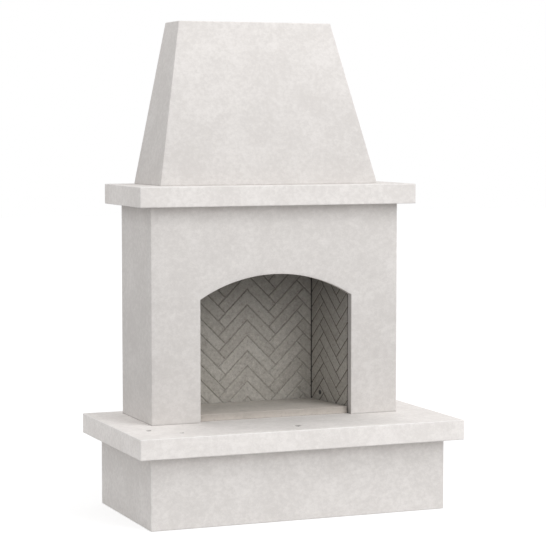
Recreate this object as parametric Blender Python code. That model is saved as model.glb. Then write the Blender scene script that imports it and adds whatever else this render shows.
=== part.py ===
"""Outdoor fireplace: thin cast-concrete shells stacked round a steel frame, with a firebox of
moulded refractory panels, a hinged throat damper and a rectangular flue.

Metres, +Z up. The origin is on the ground under the middle of the hearth slab, and the fire
opening faces -Y.
"""

import math

import bmesh
import bpy
from mathutils import Matrix, Vector
from mathutils.geometry import delaunay_2d_cdt

# General fits: the gap between neighbours, the overrun of a cut, and the eased edge of a casting
FIT_GAP = 0.0003
CUT_OVERRUN = 0.01
ARRIS = 0.003
MERGE_TOLERANCE = 0.00001

# Hearth base and hearth slab
SLAB_WIDTH = 1.7145
SLAB_DEPTH = 0.947
SLAB_THICKNESS = 0.101
SLAB_OVERHANG = 0.0764
SLAB_SKIN = 0.038
SLAB_SEAT_LAP = 0.014
BASE_HEIGHT = 0.358
BASE_WALL = 0.032

# Firebox surround, the upright casting with the arched opening
BODY_WIDTH = 1.3335
BODY_DEPTH = 0.4734
BODY_HEIGHT = 1.079
BODY_FRONT_WALL = 0.044
BODY_SIDE_WALL = 0.032
BODY_BACK_WALL = 0.025
OPENING_WIDTH = 0.82
OPENING_SPRING_HEIGHT = 0.616
OPENING_APEX_HEIGHT = 0.733
ARCH_STEPS = 20

# Mantel slab
MANTEL_THICKNESS = 0.101
MANTEL_SKIN = 0.038
MANTEL_SIDE_OVERHANG = 0.0755
MANTEL_FRONT_OVERHANG = 0.0636
MANTEL_BACK_OVERHANG = 0.042
MANTEL_SEAT_LAP = 0.012
MANTEL_HOLE_CLEARANCE = 0.03

# Tapered chimney hood, upright at the back and sloping on the other three sides
HOOD_HEIGHT = 0.824
HOOD_WALL = 0.03
HOOD_BOTTOM_WIDTH = 1.179
HOOD_BOTTOM_DEPTH = 0.421
HOOD_TOP_WIDTH = 0.833
HOOD_TOP_DEPTH = 0.209
HOOD_BACK_SETBACK = 0.016
HOOD_RIM_WALL = 0.016
HOOD_RIM_DEPTH = 0.036

# Square steel tube of the frame that stands in the base
TUBE_SIZE = 0.05
TUBE_WALL = 0.004
FRAME_CLEARANCE = 0.003
MIDDLE_BEAM_SETBACK = 0.21

# Levelling feet
FOOT_RADIUS = 0.028
FOOT_DISC_HEIGHT = 0.007
FOOT_STEM_RADIUS = 0.009
FOOT_STEM_HEIGHT = 0.012
FOOT_COLLAR_HEIGHT = 0.008
FOOT_STUD_LENGTH = 0.04
FOOT_SIDES = 16

# Firebox: refractory panels 25 mm thick inside a shell of steel sheet
SHEET = 0.002
BACK_AIR_GAP = 0.006
PANEL_THICKNESS = 0.025
FLOOR_THICKNESS = 0.032
FLOOR_FRONT_WIDTH = 0.817
FLOOR_REAR_GAP = 0.002
FIREBOX_REAR_WIDTH = 0.726
FIREBOX_FRONT_WIDTH = 0.83
FIREBOX_HEIGHT = 0.765
PANEL_FRONT_SETBACK = 0.022
CORNER_JOINT = 0.006
FLANGE_REVEAL = 0.002
FLANGE_WIDTH = 0.11
LINTEL_CLEARANCE = 0.014

# Herringbone relief of the panels: bricks of four widths long, laid at 45 degrees
BRICK_MODULE = 0.05715
BRICK_LENGTH_RATIO = 4
JOINT_WIDTH = 0.006
JOINT_DEPTH = 0.004
PANEL_RIM = 0.002
BACK_CHEVRON_RISE = 0.0584
SIDE_PATTERN_RISE = 0.0737
SIDE_PATTERN_START = 0.084

# Gas inlet sleeve through the right-hand panel
GAS_HOLE_RADIUS = 0.0125
GAS_SLEEVE_WALL = 0.0022
GAS_SLEEVE_TAIL = 0.035
GAS_HOLE_SETBACK = 0.089
GAS_HOLE_RISE = 0.074
GAS_NUT_FLATS = 0.036
GAS_NUT_HEIGHT = 0.008
GAS_SIDES = 24

# Smoke dome, damper frame and flue liner
DOME_SHEET = 0.003
DOME_BOTTOM_WIDTH = 0.72
DOME_BOTTOM_DEPTH = 0.32
DOME_HEIGHT = 0.2
DOME_FRONT_SETBACK = 0.054
THROAT_WIDTH = 0.584
THROAT_DEPTH = 0.184
THROAT_BACK_SETBACK = 0.08
THROAT_WALL = 0.01
DAMPER_FRAME_HEIGHT = 0.034
DAMPER_LEDGE_HEIGHT = 0.018
DAMPER_FRONT_LEDGE = 0.012
DAMPER_SIDE_LEDGE = 0.006
FLUE_SHEET = 0.003
FLUE_RIM_LAP = 0.002
FLUE_TOP_DEPTH = 0.11
FLUE_TOP_RISE = 0.01
FLUE_JOINT_RISE = 0.05
FLUE_BAND_HEIGHT = 0.04

# Damper blade, its shaft in two bushes, and the pull handle
BLADE_THICKNESS = 0.004
BLADE_SIDE_CLEARANCE = 0.002
BLADE_FRONT_CLEARANCE = 0.003
BLADE_TAIL = 0.012
BLADE_NOTCH_SETBACK = 0.012
BLADE_LIP_HEIGHT = 0.012
SHAFT_SIZE = 0.012
SHAFT_BACK_SETBACK = 0.023
SHAFT_SQUARE_CLEARANCE = 0.002
JOURNAL_RADIUS = 0.005
JOURNAL_FIT = 0.00006
BUSH_WALL = 0.003
BUSH_FLANGE_RADIUS = 0.012
BUSH_FLANGE_THICKNESS = 0.002
HANDLE_WIDTH = 0.024
HANDLE_THICKNESS = 0.006
HANDLE_REACH = 0.15
HANDLE_EYE_RADIUS = 0.008
TURNED_SIDES = 32

# Spark screen and the flashing that closes the hood round the flue
FLASHING_SHEET = 0.002
FLASHING_HOLE_GAP = 0.0005
FLASHING_HOLE_CORNER = 0.0003
SCREEN_THICKNESS = 0.003
SCREEN_BORDER = 0.012
SCREEN_SLOT = 0.0125
SCREEN_BAR = 0.011

# Angle brackets, their bolts and the mantel's dowels
ANGLE_LEG = 0.05
ANGLE_THICKNESS = 0.005
ANGLE_LENGTH = 0.16
BODY_ANGLE_BACK_SETBACK = 0.16
HOOD_ANGLE_INSET = 0.1
BOLT_RADIUS = 0.005
BOLT_FIT = 0.0004
BOLT_LENGTH = 0.025
BOLT_END_CLEARANCE = 0.001
BOLT_HEAD_FLATS = 0.017
BOLT_HEAD_HEIGHT = 0.007
BOLT_SIDES = 12
BOLT_SPREAD = 0.04
DOWEL_RADIUS = 0.006
DOWEL_LENGTH = 0.06
DOWEL_BACK_SETBACK = 0.18

# Faces of the stacked castings, worked out from the sizes above
BASE_HALF_WIDTH = SLAB_WIDTH / 2 - SLAB_OVERHANG
BASE_HALF_DEPTH = SLAB_DEPTH / 2 - SLAB_OVERHANG
SLAB_BOTTOM = BASE_HEIGHT + FIT_GAP
SLAB_TOP = SLAB_BOTTOM + SLAB_THICKNESS
RECESS_HALF_WIDTH = BASE_HALF_WIDTH - BASE_WALL - SLAB_SEAT_LAP
RECESS_HALF_DEPTH = BASE_HALF_DEPTH - BASE_WALL - SLAB_SEAT_LAP
BODY_BACK = BASE_HALF_DEPTH
BODY_FRONT = BODY_BACK - BODY_DEPTH
BODY_BOTTOM = SLAB_TOP + FIT_GAP
BODY_TOP = BODY_BOTTOM + BODY_HEIGHT
BODY_INNER_FRONT = BODY_FRONT + BODY_FRONT_WALL
BODY_INNER_BACK = BODY_BACK - BODY_BACK_WALL
BODY_INNER_HALF_WIDTH = BODY_WIDTH / 2 - BODY_SIDE_WALL
MANTEL_BOTTOM = BODY_TOP + FIT_GAP
MANTEL_TOP = MANTEL_BOTTOM + MANTEL_THICKNESS
MANTEL_BACK = BODY_BACK + MANTEL_BACK_OVERHANG
HOOD_BOTTOM = MANTEL_TOP + FIT_GAP
HOOD_TOP = HOOD_BOTTOM + HOOD_HEIGHT
HOOD_BACK = MANTEL_BACK - HOOD_BACK_SETBACK
HOOD_LEDGE = HOOD_TOP - HOOD_RIM_DEPTH

# Faces of the firebox
FLANGE_FRONT = BODY_INNER_FRONT + FIT_GAP
FLANGE_BACK = FLANGE_FRONT + SHEET
SHELL_FRONT = FLANGE_BACK + FIT_GAP
BACK_SHEET_REAR = BODY_INNER_BACK - BACK_AIR_GAP
BACK_SHEET_FRONT = BACK_SHEET_REAR - SHEET
BACK_PANEL_REAR = BACK_SHEET_FRONT - FIT_GAP
BACK_PANEL_FACE = BACK_PANEL_REAR - PANEL_THICKNESS
PANEL_FRONT_END = BODY_INNER_FRONT + PANEL_FRONT_SETBACK
PAN_BOTTOM = SLAB_TOP + FIT_GAP
PAN_TOP = PAN_BOTTOM + SHEET
FIREBOX_BOTTOM = PAN_TOP + FIT_GAP
FIREBOX_TOP = SLAB_TOP + FIREBOX_HEIGHT
TOP_PLATE_BOTTOM = FIREBOX_TOP + FIT_GAP
TOP_PLATE_TOP = TOP_PLATE_BOTTOM + SHEET
SPLAY_SLOPE = (FIREBOX_FRONT_WIDTH - FIREBOX_REAR_WIDTH) / 2 / (BACK_PANEL_FACE - PANEL_FRONT_END)
SPLAY_ANGLE = math.atan(SPLAY_SLOPE)

# Levels and faces of the smoke way
DOME_BOTTOM = TOP_PLATE_TOP + FIT_GAP
DOME_TOP = DOME_BOTTOM + DOME_HEIGHT
DOME_FRONT = BODY_INNER_FRONT + DOME_FRONT_SETBACK
DAMPER_BOTTOM = DOME_TOP + FIT_GAP
DAMPER_TOP = DAMPER_BOTTOM + DAMPER_FRAME_HEIGHT
DAMPER_LEDGE = DAMPER_BOTTOM + DAMPER_LEDGE_HEIGHT
THROAT_BACK = BODY_INNER_BACK - THROAT_BACK_SETBACK
THROAT_FRONT = THROAT_BACK - THROAT_DEPTH
BLADE_BOTTOM = DAMPER_LEDGE + FIT_GAP
SHAFT_Y = THROAT_BACK - SHAFT_BACK_SETBACK
SHAFT_Z = BLADE_BOTTOM - FIT_GAP - SHAFT_SIZE / 2
FLUE_BOTTOM = DAMPER_TOP + FIT_GAP
FLASHING_BOTTOM = HOOD_LEDGE + FIT_GAP
FLASHING_TOP = FLASHING_BOTTOM + FLASHING_SHEET
FLUE_TOP = FLASHING_TOP + FLUE_TOP_RISE
FLUE_JOINT = MANTEL_TOP + FLUE_JOINT_RISE
FLUE_HALF_WIDTH = THROAT_WIDTH / 2 + THROAT_WALL - FLUE_RIM_LAP
FLUE_TOP_BACK = HOOD_BACK - (HOOD_TOP_DEPTH - FLUE_TOP_DEPTH) / 2
FLUE_TOP_FRONT = FLUE_TOP_BACK - FLUE_TOP_DEPTH


def clear_scene():
    """Remove every object that the file opens with."""
    for item in list(bpy.data.objects):
        bpy.data.objects.remove(item, do_unlink=True)


def finish_material(name, colour, roughness, metallic=0.0):
    """One Principled material, returned again if it already exists."""
    made = bpy.data.materials.get(name)
    if made:
        return made
    made = bpy.data.materials.new(name)
    made.use_nodes = True
    shader = made.node_tree.nodes["Principled BSDF"]
    shader.inputs["Base Color"].default_value = (*colour, 1.0)
    shader.inputs["Roughness"].default_value = roughness
    shader.inputs["Metallic"].default_value = metallic
    made.diffuse_color = (*colour, 1.0)
    return made


def cast_concrete(name):
    """Pale warm-grey glass-fibre-reinforced concrete."""
    return finish_material(name + "_concrete", (0.72, 0.70, 0.67), 0.85)


def refractory(name):
    """Grey-brown moulded refractory."""
    return finish_material(name + "_refractory", (0.26, 0.235, 0.215), 0.95)


def painted_steel(name):
    """Black heat-resisting paint on steel."""
    return finish_material(name + "_painted_steel", (0.03, 0.03, 0.032), 0.55)


def galvanised_steel(name):
    """Zinc-coated steel."""
    return finish_material(name + "_galvanised", (0.55, 0.57, 0.59), 0.45, 1.0)


def stainless_steel(name):
    """Stainless steel sheet."""
    return finish_material(name + "_stainless", (0.62, 0.62, 0.63), 0.35, 1.0)


def brass(name):
    """Plain brass."""
    return finish_material(name + "_brass", (0.72, 0.55, 0.25), 0.35, 1.0)


def add_object(name, mesh, finish=None, origin=(0, 0, 0), turn=0.0):
    """Link a mesh drawn round its own origin as an object placed at `origin`, turned about Z."""
    made = bpy.data.objects.new(name, mesh)
    made.location = origin
    made.rotation_euler = (0, 0, turn)
    bpy.context.scene.collection.objects.link(made)
    if finish:
        mesh.materials.append(finish)
    return made


def mesh_from_faces(name, points, faces):
    """A mesh with merged corners and its faces turned outwards."""
    shape = bmesh.new()
    corners = [shape.verts.new(point) for point in points]
    for face in faces:
        shape.faces.new([corners[index] for index in face])
    bmesh.ops.remove_doubles(shape, verts=shape.verts, dist=MERGE_TOLERANCE)
    bmesh.ops.recalc_face_normals(shape, faces=shape.faces)
    mesh = bpy.data.meshes.new(name)
    shape.to_mesh(mesh)
    shape.free()
    return mesh


def ring_solid(name, rings, finish, closed=False, origin=(0, 0, 0), turn=0.0):
    """Solid through rings of equal point counts, capped at both ends or closed into a loop.

    The rings are in world places, and the object's own origin is then set to `origin`.
    """
    count = len(rings[0])
    points = [Vector(point) - Vector(origin) for ring in rings for point in ring]
    faces = []
    last = len(rings) if closed else len(rings) - 1
    for row in range(last):
        low = row * count
        high = (row + 1) % len(rings) * count
        for step in range(count):
            after = (step + 1) % count
            faces.append((low + step, low + after, high + after, high + step))
    if not closed:
        faces.append(tuple(range(count)))
        faces.append(tuple(range((len(rings) - 1) * count, len(rings) * count)))
    return add_object(name, mesh_from_faces(name, points, faces), finish, origin, turn)


def outline(left, right, front, back, corner=0.0):
    """Corners of a level rectangle, anticlockwise from above, each cut off by `corner`."""
    if corner == 0:
        return [(left, front), (right, front), (right, back), (left, back)]
    return [(left + corner, front), (right - corner, front),
            (right, front + corner), (right, back - corner),
            (right - corner, back), (left + corner, back),
            (left, back - corner), (left, front + corner)]


def level(plan, height):
    """A plan outline lifted to one height."""
    return [(x, y, height) for x, y in plan]


def prism(name, plan, low, high, finish, origin):
    """Upright prism over a plan outline."""
    return ring_solid(name, [level(plan, low), level(plan, high)], finish, origin=origin)


def box(name, low, high, finish):
    """Box between two corners, its origin at the middle of its underside."""
    origin = ((low[0] + high[0]) / 2, (low[1] + high[1]) / 2, low[2])
    plan = outline(low[0], high[0], low[1], high[1])
    return prism(name, plan, low[2], high[2], finish, origin)


def circle(radius, sides):
    """Points of a regular polygon round zero."""
    turns = [2 * math.pi * step / sides for step in range(sides)]
    return [(radius * math.cos(turn), radius * math.sin(turn)) for turn in turns]


def hexagon(flats, sides=BOLT_SIDES):
    """Points on a hexagon's outline, its corners and the middles of its sides among them."""
    apothem = flats / 2
    sector = math.pi / 3
    points = []
    for step in range(sides):
        turn = 2 * math.pi * step / sides
        radius = apothem / math.cos(turn % sector - sector / 2)
        points.append((radius * math.cos(turn), radius * math.sin(turn)))
    return points


def square(size, sides=TURNED_SIDES):
    """Points on a square's outline at even turns, its corners among them."""
    points = []
    for step in range(sides):
        turn = 2 * math.pi * step / sides
        radius = size / 2 / max(abs(math.cos(turn)), abs(math.sin(turn)))
        points.append((radius * math.cos(turn), radius * math.sin(turn)))
    return points


def along_x(shape, x):
    """A shape's points stood up in the plane across X."""
    return [(x, first, second) for first, second in shape]


def cut(target, cutter):
    """Take a cutter's shape out of a solid; the cutter itself isn't part of the model."""
    cutter.hide_render = True
    cutter.display_type = "WIRE"
    boolean = target.modifiers.new(cutter.name, "BOOLEAN")
    boolean.operation = "DIFFERENCE"
    boolean.solver = "EXACT"
    boolean.object = cutter


def drill(target, name, start, end, radius, sides):
    """Cut a round hole from one point to another."""
    start = Vector(start)
    way = Vector(end) - start
    rings = [level(circle(radius, sides), 0), level(circle(radius, sides), way.length)]
    cutter = ring_solid(name, rings, None)
    cutter.location = start
    cutter.rotation_euler = way.to_track_quat("Z", "Y").to_euler()
    cut(target, cutter)


# Castings


def make_hearth_base():
    """Four-sided plinth casting, open at the top and bottom."""
    outer = outline(-BASE_HALF_WIDTH, BASE_HALF_WIDTH, -BASE_HALF_DEPTH, BASE_HALF_DEPTH, ARRIS)
    inner_x = BASE_HALF_WIDTH - BASE_WALL
    inner_y = BASE_HALF_DEPTH - BASE_WALL
    inner = outline(-inner_x, inner_x, -inner_y, inner_y, ARRIS)
    rings = [level(outer, 0), level(outer, BASE_HEIGHT), level(inner, BASE_HEIGHT), level(inner, 0)]
    return ring_solid("hearth_base", rings, cast_concrete("hearth_base"), closed=True)


def eased_block(half_width, front, back, low, high):
    """Rings up the outside of a slab whose top and bottom edges are eased."""
    full = outline(-half_width, half_width, front, back, ARRIS)
    eased = outline(ARRIS - half_width, half_width - ARRIS, front + ARRIS, back - ARRIS, ARRIS)
    return [level(eased, low), level(full, low + ARRIS), level(full, high - ARRIS), level(eased, high)]


def make_hearth_slab():
    """Hearth slab, hollowed from below inside the band that sits on the base."""
    recess = outline(-RECESS_HALF_WIDTH, RECESS_HALF_WIDTH, -RECESS_HALF_DEPTH, RECESS_HALF_DEPTH, ARRIS)
    rings = [level(recess, SLAB_TOP - SLAB_SKIN), level(recess, SLAB_BOTTOM)]
    rings += eased_block(SLAB_WIDTH / 2, -SLAB_DEPTH / 2, SLAB_DEPTH / 2, SLAB_BOTTOM, SLAB_TOP)
    return ring_solid("hearth_slab", rings, cast_concrete("hearth_slab"), origin=(0, 0, SLAB_BOTTOM))


def arch_outline(half_width, foot, spring, apex):
    """Opening seen from the front: two jambs under a segmental arch."""
    rise = apex - spring
    radius = (half_width ** 2 + rise ** 2) / (2 * rise)
    sweep = math.asin(half_width / radius)
    points = [(-half_width, foot), (half_width, foot)]
    for step in range(ARCH_STEPS + 1):
        turn = sweep - 2 * sweep * step / ARCH_STEPS
        points.append((radius * math.sin(turn), apex - radius + radius * math.cos(turn)))
    return points


def make_fireplace_body():
    """Upright surround: four walls with the arched fire opening in the front one."""
    half = BODY_WIDTH / 2
    outer = outline(-half, half, BODY_FRONT, BODY_BACK, ARRIS)
    inner_x = BODY_INNER_HALF_WIDTH
    inner = outline(-inner_x, inner_x, BODY_INNER_FRONT, BODY_INNER_BACK, ARRIS)
    rings = [level(outer, BODY_BOTTOM), level(outer, BODY_TOP)]
    rings += [level(inner, BODY_TOP), level(inner, BODY_BOTTOM)]
    body = ring_solid("fireplace_body", rings, cast_concrete("fireplace_body"), closed=True,
                      origin=(0, (BODY_FRONT + BODY_BACK) / 2, BODY_BOTTOM))
    shape = arch_outline(OPENING_WIDTH / 2, BODY_BOTTOM - CUT_OVERRUN,
                         SLAB_TOP + OPENING_SPRING_HEIGHT, SLAB_TOP + OPENING_APEX_HEIGHT)
    faces = [BODY_FRONT - CUT_OVERRUN, BODY_INNER_FRONT + CUT_OVERRUN]
    cutter = ring_solid("opening_cutter", [[(x, y, z) for x, z in shape] for y in faces], None)
    cut(body, cutter)
    return body


def make_mantel_slab():
    """Mantel slab, hollowed from below, with the hole that the flue rises through."""
    half = BODY_WIDTH / 2 + MANTEL_SIDE_OVERHANG
    front = BODY_FRONT - MANTEL_FRONT_OVERHANG
    (left, hole_front), (right, hole_back) = flue_corners(MANTEL_TOP, MANTEL_HOLE_CLEARANCE)
    hole = outline(left, right, hole_front, hole_back, ARRIS)
    recess_x = BODY_INNER_HALF_WIDTH - MANTEL_SEAT_LAP
    recess = outline(-recess_x, recess_x, BODY_INNER_FRONT + MANTEL_SEAT_LAP,
                     BODY_INNER_BACK - MANTEL_SEAT_LAP, ARRIS)
    skin_low = MANTEL_TOP - MANTEL_SKIN
    rings = eased_block(half, front, MANTEL_BACK, MANTEL_BOTTOM, MANTEL_TOP)
    rings += [level(hole, MANTEL_TOP), level(hole, skin_low)]
    rings += [level(recess, skin_low), level(recess, MANTEL_BOTTOM)]
    return ring_solid("mantel_slab", rings, cast_concrete("mantel_slab"), closed=True,
                      origin=(0, (front + MANTEL_BACK) / 2, MANTEL_BOTTOM))


def hood_outline(height, inset):
    """Hood's plan at one height, taken in by `inset` on every side."""
    share = (height - HOOD_BOTTOM) / HOOD_HEIGHT
    width = HOOD_BOTTOM_WIDTH + (HOOD_TOP_WIDTH - HOOD_BOTTOM_WIDTH) * share
    depth = HOOD_BOTTOM_DEPTH + (HOOD_TOP_DEPTH - HOOD_BOTTOM_DEPTH) * share
    return outline(inset - width / 2, width / 2 - inset, HOOD_BACK - depth + inset, HOOD_BACK - inset, ARRIS)


def make_chimney_hood():
    """Tapered hood shell, open below, with a rebate round the inside of its top edge."""
    stations = [(HOOD_BOTTOM, 0), (HOOD_TOP - ARRIS, 0), (HOOD_TOP, ARRIS), (HOOD_TOP, HOOD_RIM_WALL),
                (HOOD_LEDGE, HOOD_RIM_WALL), (HOOD_LEDGE, HOOD_WALL), (HOOD_BOTTOM, HOOD_WALL)]
    rings = [level(hood_outline(height, inset), height) for height, inset in stations]
    return ring_solid("chimney_hood", rings, cast_concrete("chimney_hood"), closed=True,
                      origin=(0, HOOD_BACK, HOOD_BOTTOM))


# Steel frame inside the base


def square_tube(name, start, end):
    """Square steel tube between the middles of its two ends, along one of the axes."""
    way = Vector(end) - Vector(start)
    outer = outline(-TUBE_SIZE / 2, TUBE_SIZE / 2, -TUBE_SIZE / 2, TUBE_SIZE / 2)
    bore = TUBE_SIZE / 2 - TUBE_WALL
    inner = outline(-bore, bore, -bore, bore)
    rings = [level(outer, 0), level(outer, way.length), level(inner, way.length), level(inner, 0)]
    tube = ring_solid(name, rings, galvanised_steel("frame"), closed=True)
    tube.location = start
    tube.rotation_euler = way.to_track_quat("Z", "Y").to_euler()
    return tube


def make_frame():
    """Posts, rails and cross beams that carry the slab from below, on four levelling feet."""
    corner_x = RECESS_HALF_WIDTH - FRAME_CLEARANCE - TUBE_SIZE / 2
    corner_y = RECESS_HALF_DEPTH - FRAME_CLEARANCE - TUBE_SIZE / 2
    rail_z = SLAB_TOP - SLAB_SKIN - FIT_GAP - TUBE_SIZE / 2
    end_x = corner_x + TUBE_SIZE / 2
    side_y = corner_y - TUBE_SIZE / 2 - FIT_GAP
    beam_x = corner_x - TUBE_SIZE / 2 - FIT_GAP
    post_low = FOOT_DISC_HEIGHT + FOOT_STEM_HEIGHT + FOOT_COLLAR_HEIGHT + FIT_GAP
    post_high = rail_z - TUBE_SIZE / 2 - FIT_GAP
    for end, y in (("front", -corner_y), ("rear", corner_y)):
        square_tube("frame_rail_" + end, (-end_x, y, rail_z), (end_x, y, rail_z))
        for side, x in (("left", -corner_x), ("right", corner_x)):
            square_tube("frame_post_" + end + "_" + side, (x, y, post_low), (x, y, post_high))
            make_levelling_foot("levelling_foot_" + end + "_" + side, x, y)
    for side, x in (("left", -corner_x), ("right", corner_x)):
        square_tube("frame_rail_" + side, (x, -side_y, rail_z), (x, side_y, rail_z))
    body_wall_y = BODY_FRONT + BODY_FRONT_WALL / 2
    for name, y in (("front", body_wall_y), ("middle", body_wall_y + MIDDLE_BEAM_SETBACK)):
        square_tube("frame_beam_" + name, (-beam_x, y, rail_z), (beam_x, y, rail_z))


def make_levelling_foot(name, x, y):
    """Turned foot: disc, stem, the collar that the post stands on, and the stud inside the post."""
    stem_low = FOOT_DISC_HEIGHT
    stem_high = stem_low + FOOT_STEM_HEIGHT
    collar_high = stem_high + FOOT_COLLAR_HEIGHT
    stud_high = collar_high + FOOT_STUD_LENGTH
    profile = [(FOOT_RADIUS, 0), (FOOT_RADIUS, stem_low), (FOOT_STEM_RADIUS, stem_low),
               (FOOT_STEM_RADIUS, stem_high), (FOOT_RADIUS, stem_high), (FOOT_RADIUS, collar_high),
               (FOOT_STEM_RADIUS, collar_high), (FOOT_STEM_RADIUS, stud_high)]
    rings = [level(circle(radius, FOOT_SIDES), height) for radius, height in profile]
    foot = ring_solid(name, rings, galvanised_steel("levelling_foot"))
    foot.location = (x, y, 0)
    return foot


# Refractory panels


def herringbone_bricks(u_low, u_high, v_low, v_high, u_shift, v_shift):
    """Brick faces of a 45-degree herringbone that fall inside a panel, clipped to it.

    In the turned frame a = (u + v) / root 2, b = (v - u) / root 2 every brick is square to the
    axes. One set lies along a, each brick one module on from the last in both a and b; the other
    set stands along b and fills the steps between two columns of the first.
    """
    module = BRICK_MODULE
    length = BRICK_MODULE * BRICK_LENGTH_RATIO
    column = 2 * length
    half_joint = JOINT_WIDTH / 2
    reach = (u_high - u_low + v_high - v_low + length * 2) / module
    steps = range(-int(reach) - 1, int(reach) + 2)
    columns = range(-int(reach * module / column) - 1, int(reach * module / column) + 2)
    bricks = []
    for number in columns:
        for step in steps:
            start = number * column + step * module
            rise = step * module
            lying = (start, start + length, rise, rise + module)
            upright = (start + length, start + length + module, rise + module - length, rise + module)
            for a_low, a_high, b_low, b_high in (lying, upright):
                a_span = (a_low + half_joint, a_high - half_joint)
                b_span = (b_low + half_joint, b_high - half_joint)
                corners = [(a_span[0], b_span[0]), (a_span[1], b_span[0]), (a_span[1], b_span[1]),
                           (a_span[0], b_span[1])]
                turned = [((a - b) / math.sqrt(2) + u_shift, (a + b) / math.sqrt(2) + v_shift)
                          for a, b in corners]
                face = clip_to_panel(turned, u_low, u_high, v_low, v_high)
                if len(face) > 2 and outline_area(face) > JOINT_WIDTH ** 2:
                    bricks.append(face)
    return bricks


def clip_to_panel(points, u_low, u_high, v_low, v_high):
    """Cut a convex outline back to a rectangle, one side at a time."""
    for axis, limit, sign in ((0, u_low, 1), (0, u_high, -1), (1, v_low, 1), (1, v_high, -1)):
        points = [snap(point, axis, limit) for point in points]
        kept = []
        for index, point in enumerate(points):
            before = points[index - 1]
            inside = sign * (point[axis] - limit) >= 0
            was_inside = sign * (before[axis] - limit) >= 0
            if inside != was_inside:
                share = (limit - before[axis]) / (point[axis] - before[axis])
                kept.append(tuple(before[k] + share * (point[k] - before[k]) for k in (0, 1)))
            if inside:
                kept.append(point)
        points = [point for index, point in enumerate(kept)
                  if math.dist(point, kept[index - 1]) > MERGE_TOLERANCE]
    return points


def snap(point, axis, limit):
    """The point itself, moved onto the limit if it is all but on it."""
    if abs(point[axis] - limit) > MERGE_TOLERANCE:
        return point
    return (limit, point[1]) if axis == 0 else (point[0], limit)


def outline_area(points):
    """Area inside a flat outline."""
    doubled = sum(points[i - 1][0] * points[i][1] - points[i][0] * points[i - 1][1]
                  for i in range(len(points)))
    return abs(doubled) / 2


def relief_panel(name, u_low, u_high, height, bricks, origin, turn):
    """Panel standing on its lower edge, with brick faces raised out of its joints on the -Y side.

    The face is triangulated round the brick outlines. Triangles inside a brick lie at the face,
    the rest at the bottom of the joints, and a wall joins the two wherever they meet.
    """
    border = [(u_low, 0), (u_high, 0), (u_high, height), (u_low, height)]
    points = list(border)
    outlines = [list(range(len(border)))]
    for brick in bricks:
        outlines.append(list(range(len(points), len(points) + len(brick))))
        points += brick
    flat, _, faces, _, _, sources = delaunay_2d_cdt([Vector(point) for point in points], [], outlines,
                                                    0, MERGE_TOLERANCE)
    raised = [any(source > 0 for source in found) for found in sources]
    depths = (0, JOINT_DEPTH, PANEL_THICKNESS)
    corners = [(point.x, depth, point.y) for depth in depths for point in flat]
    count = len(flat)
    beside = {}
    for face, up in zip(faces, raised):
        for first, second in zip(face, face[1:] + face[:1]):
            beside[first, second] = up
    solid = []
    for face, up in zip(faces, raised):
        lift = 0 if up else count
        solid.append([index + lift for index in face])
        for first, second in zip(face, face[1:] + face[:1]):
            other = beside.get((second, first))
            if other is None:
                solid.append([first + count, second + count, second + 2 * count, first + 2 * count])
            elif up and not other:
                solid.append([first, second, second + count, first + count])
    rim = sorted((point for point in range(count) if on_border(flat[point], u_low, u_high, height)),
                 key=lambda index: math.atan2(flat[index].y - height / 2,
                                              flat[index].x - (u_low + u_high) / 2))
    solid.append([index + 2 * count for index in rim])
    used = sorted({index for face in solid for index in face})
    renumbered = {index: place for place, index in enumerate(used)}
    mesh = mesh_from_faces(name, [corners[index] for index in used],
                           [[renumbered[index] for index in face] for face in solid])
    return add_object(name, mesh, refractory(name), origin, turn)


def on_border(point, u_low, u_high, height):
    """Whether a flat point lies on the panel's outer edge."""
    across = min(abs(point.x - u_low), abs(point.x - u_high))
    up = min(abs(point.y), abs(point.y - height))
    return min(across, up) < MERGE_TOLERANCE


def side_x(y, offset):
    """Right-hand firebox wall's distance from the middle at one depth, `offset` out from its face."""
    return FIREBOX_REAR_WIDTH / 2 + (BACK_PANEL_FACE - y) * SPLAY_SLOPE + offset / math.cos(SPLAY_ANGLE)


def make_back_panel():
    """Back panel: a herringbone that is mirrored at the middle, so that its chevrons meet there."""
    half = side_x(BACK_PANEL_REAR, PANEL_THICKNESS)
    height = FIREBOX_TOP - FIREBOX_BOTTOM
    chevron = BRICK_MODULE * math.sqrt(2)
    v_shift = SLAB_TOP + BACK_CHEVRON_RISE - FIREBOX_BOTTOM
    right = herringbone_bricks(0, half - PANEL_RIM, PANEL_RIM, height - PANEL_RIM, -2 * chevron, v_shift)
    left = [[(-u, v) for u, v in reversed(brick)] for brick in right]
    return relief_panel("refractory_back", -half, half, height, right + left,
                        (0, BACK_PANEL_FACE, FIREBOX_BOTTOM), 0)


def side_panel_length():
    """Length of a side panel along its face, from the corner to its front end."""
    return (BACK_PANEL_FACE - PANEL_FRONT_END) / math.cos(SPLAY_ANGLE)


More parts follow.
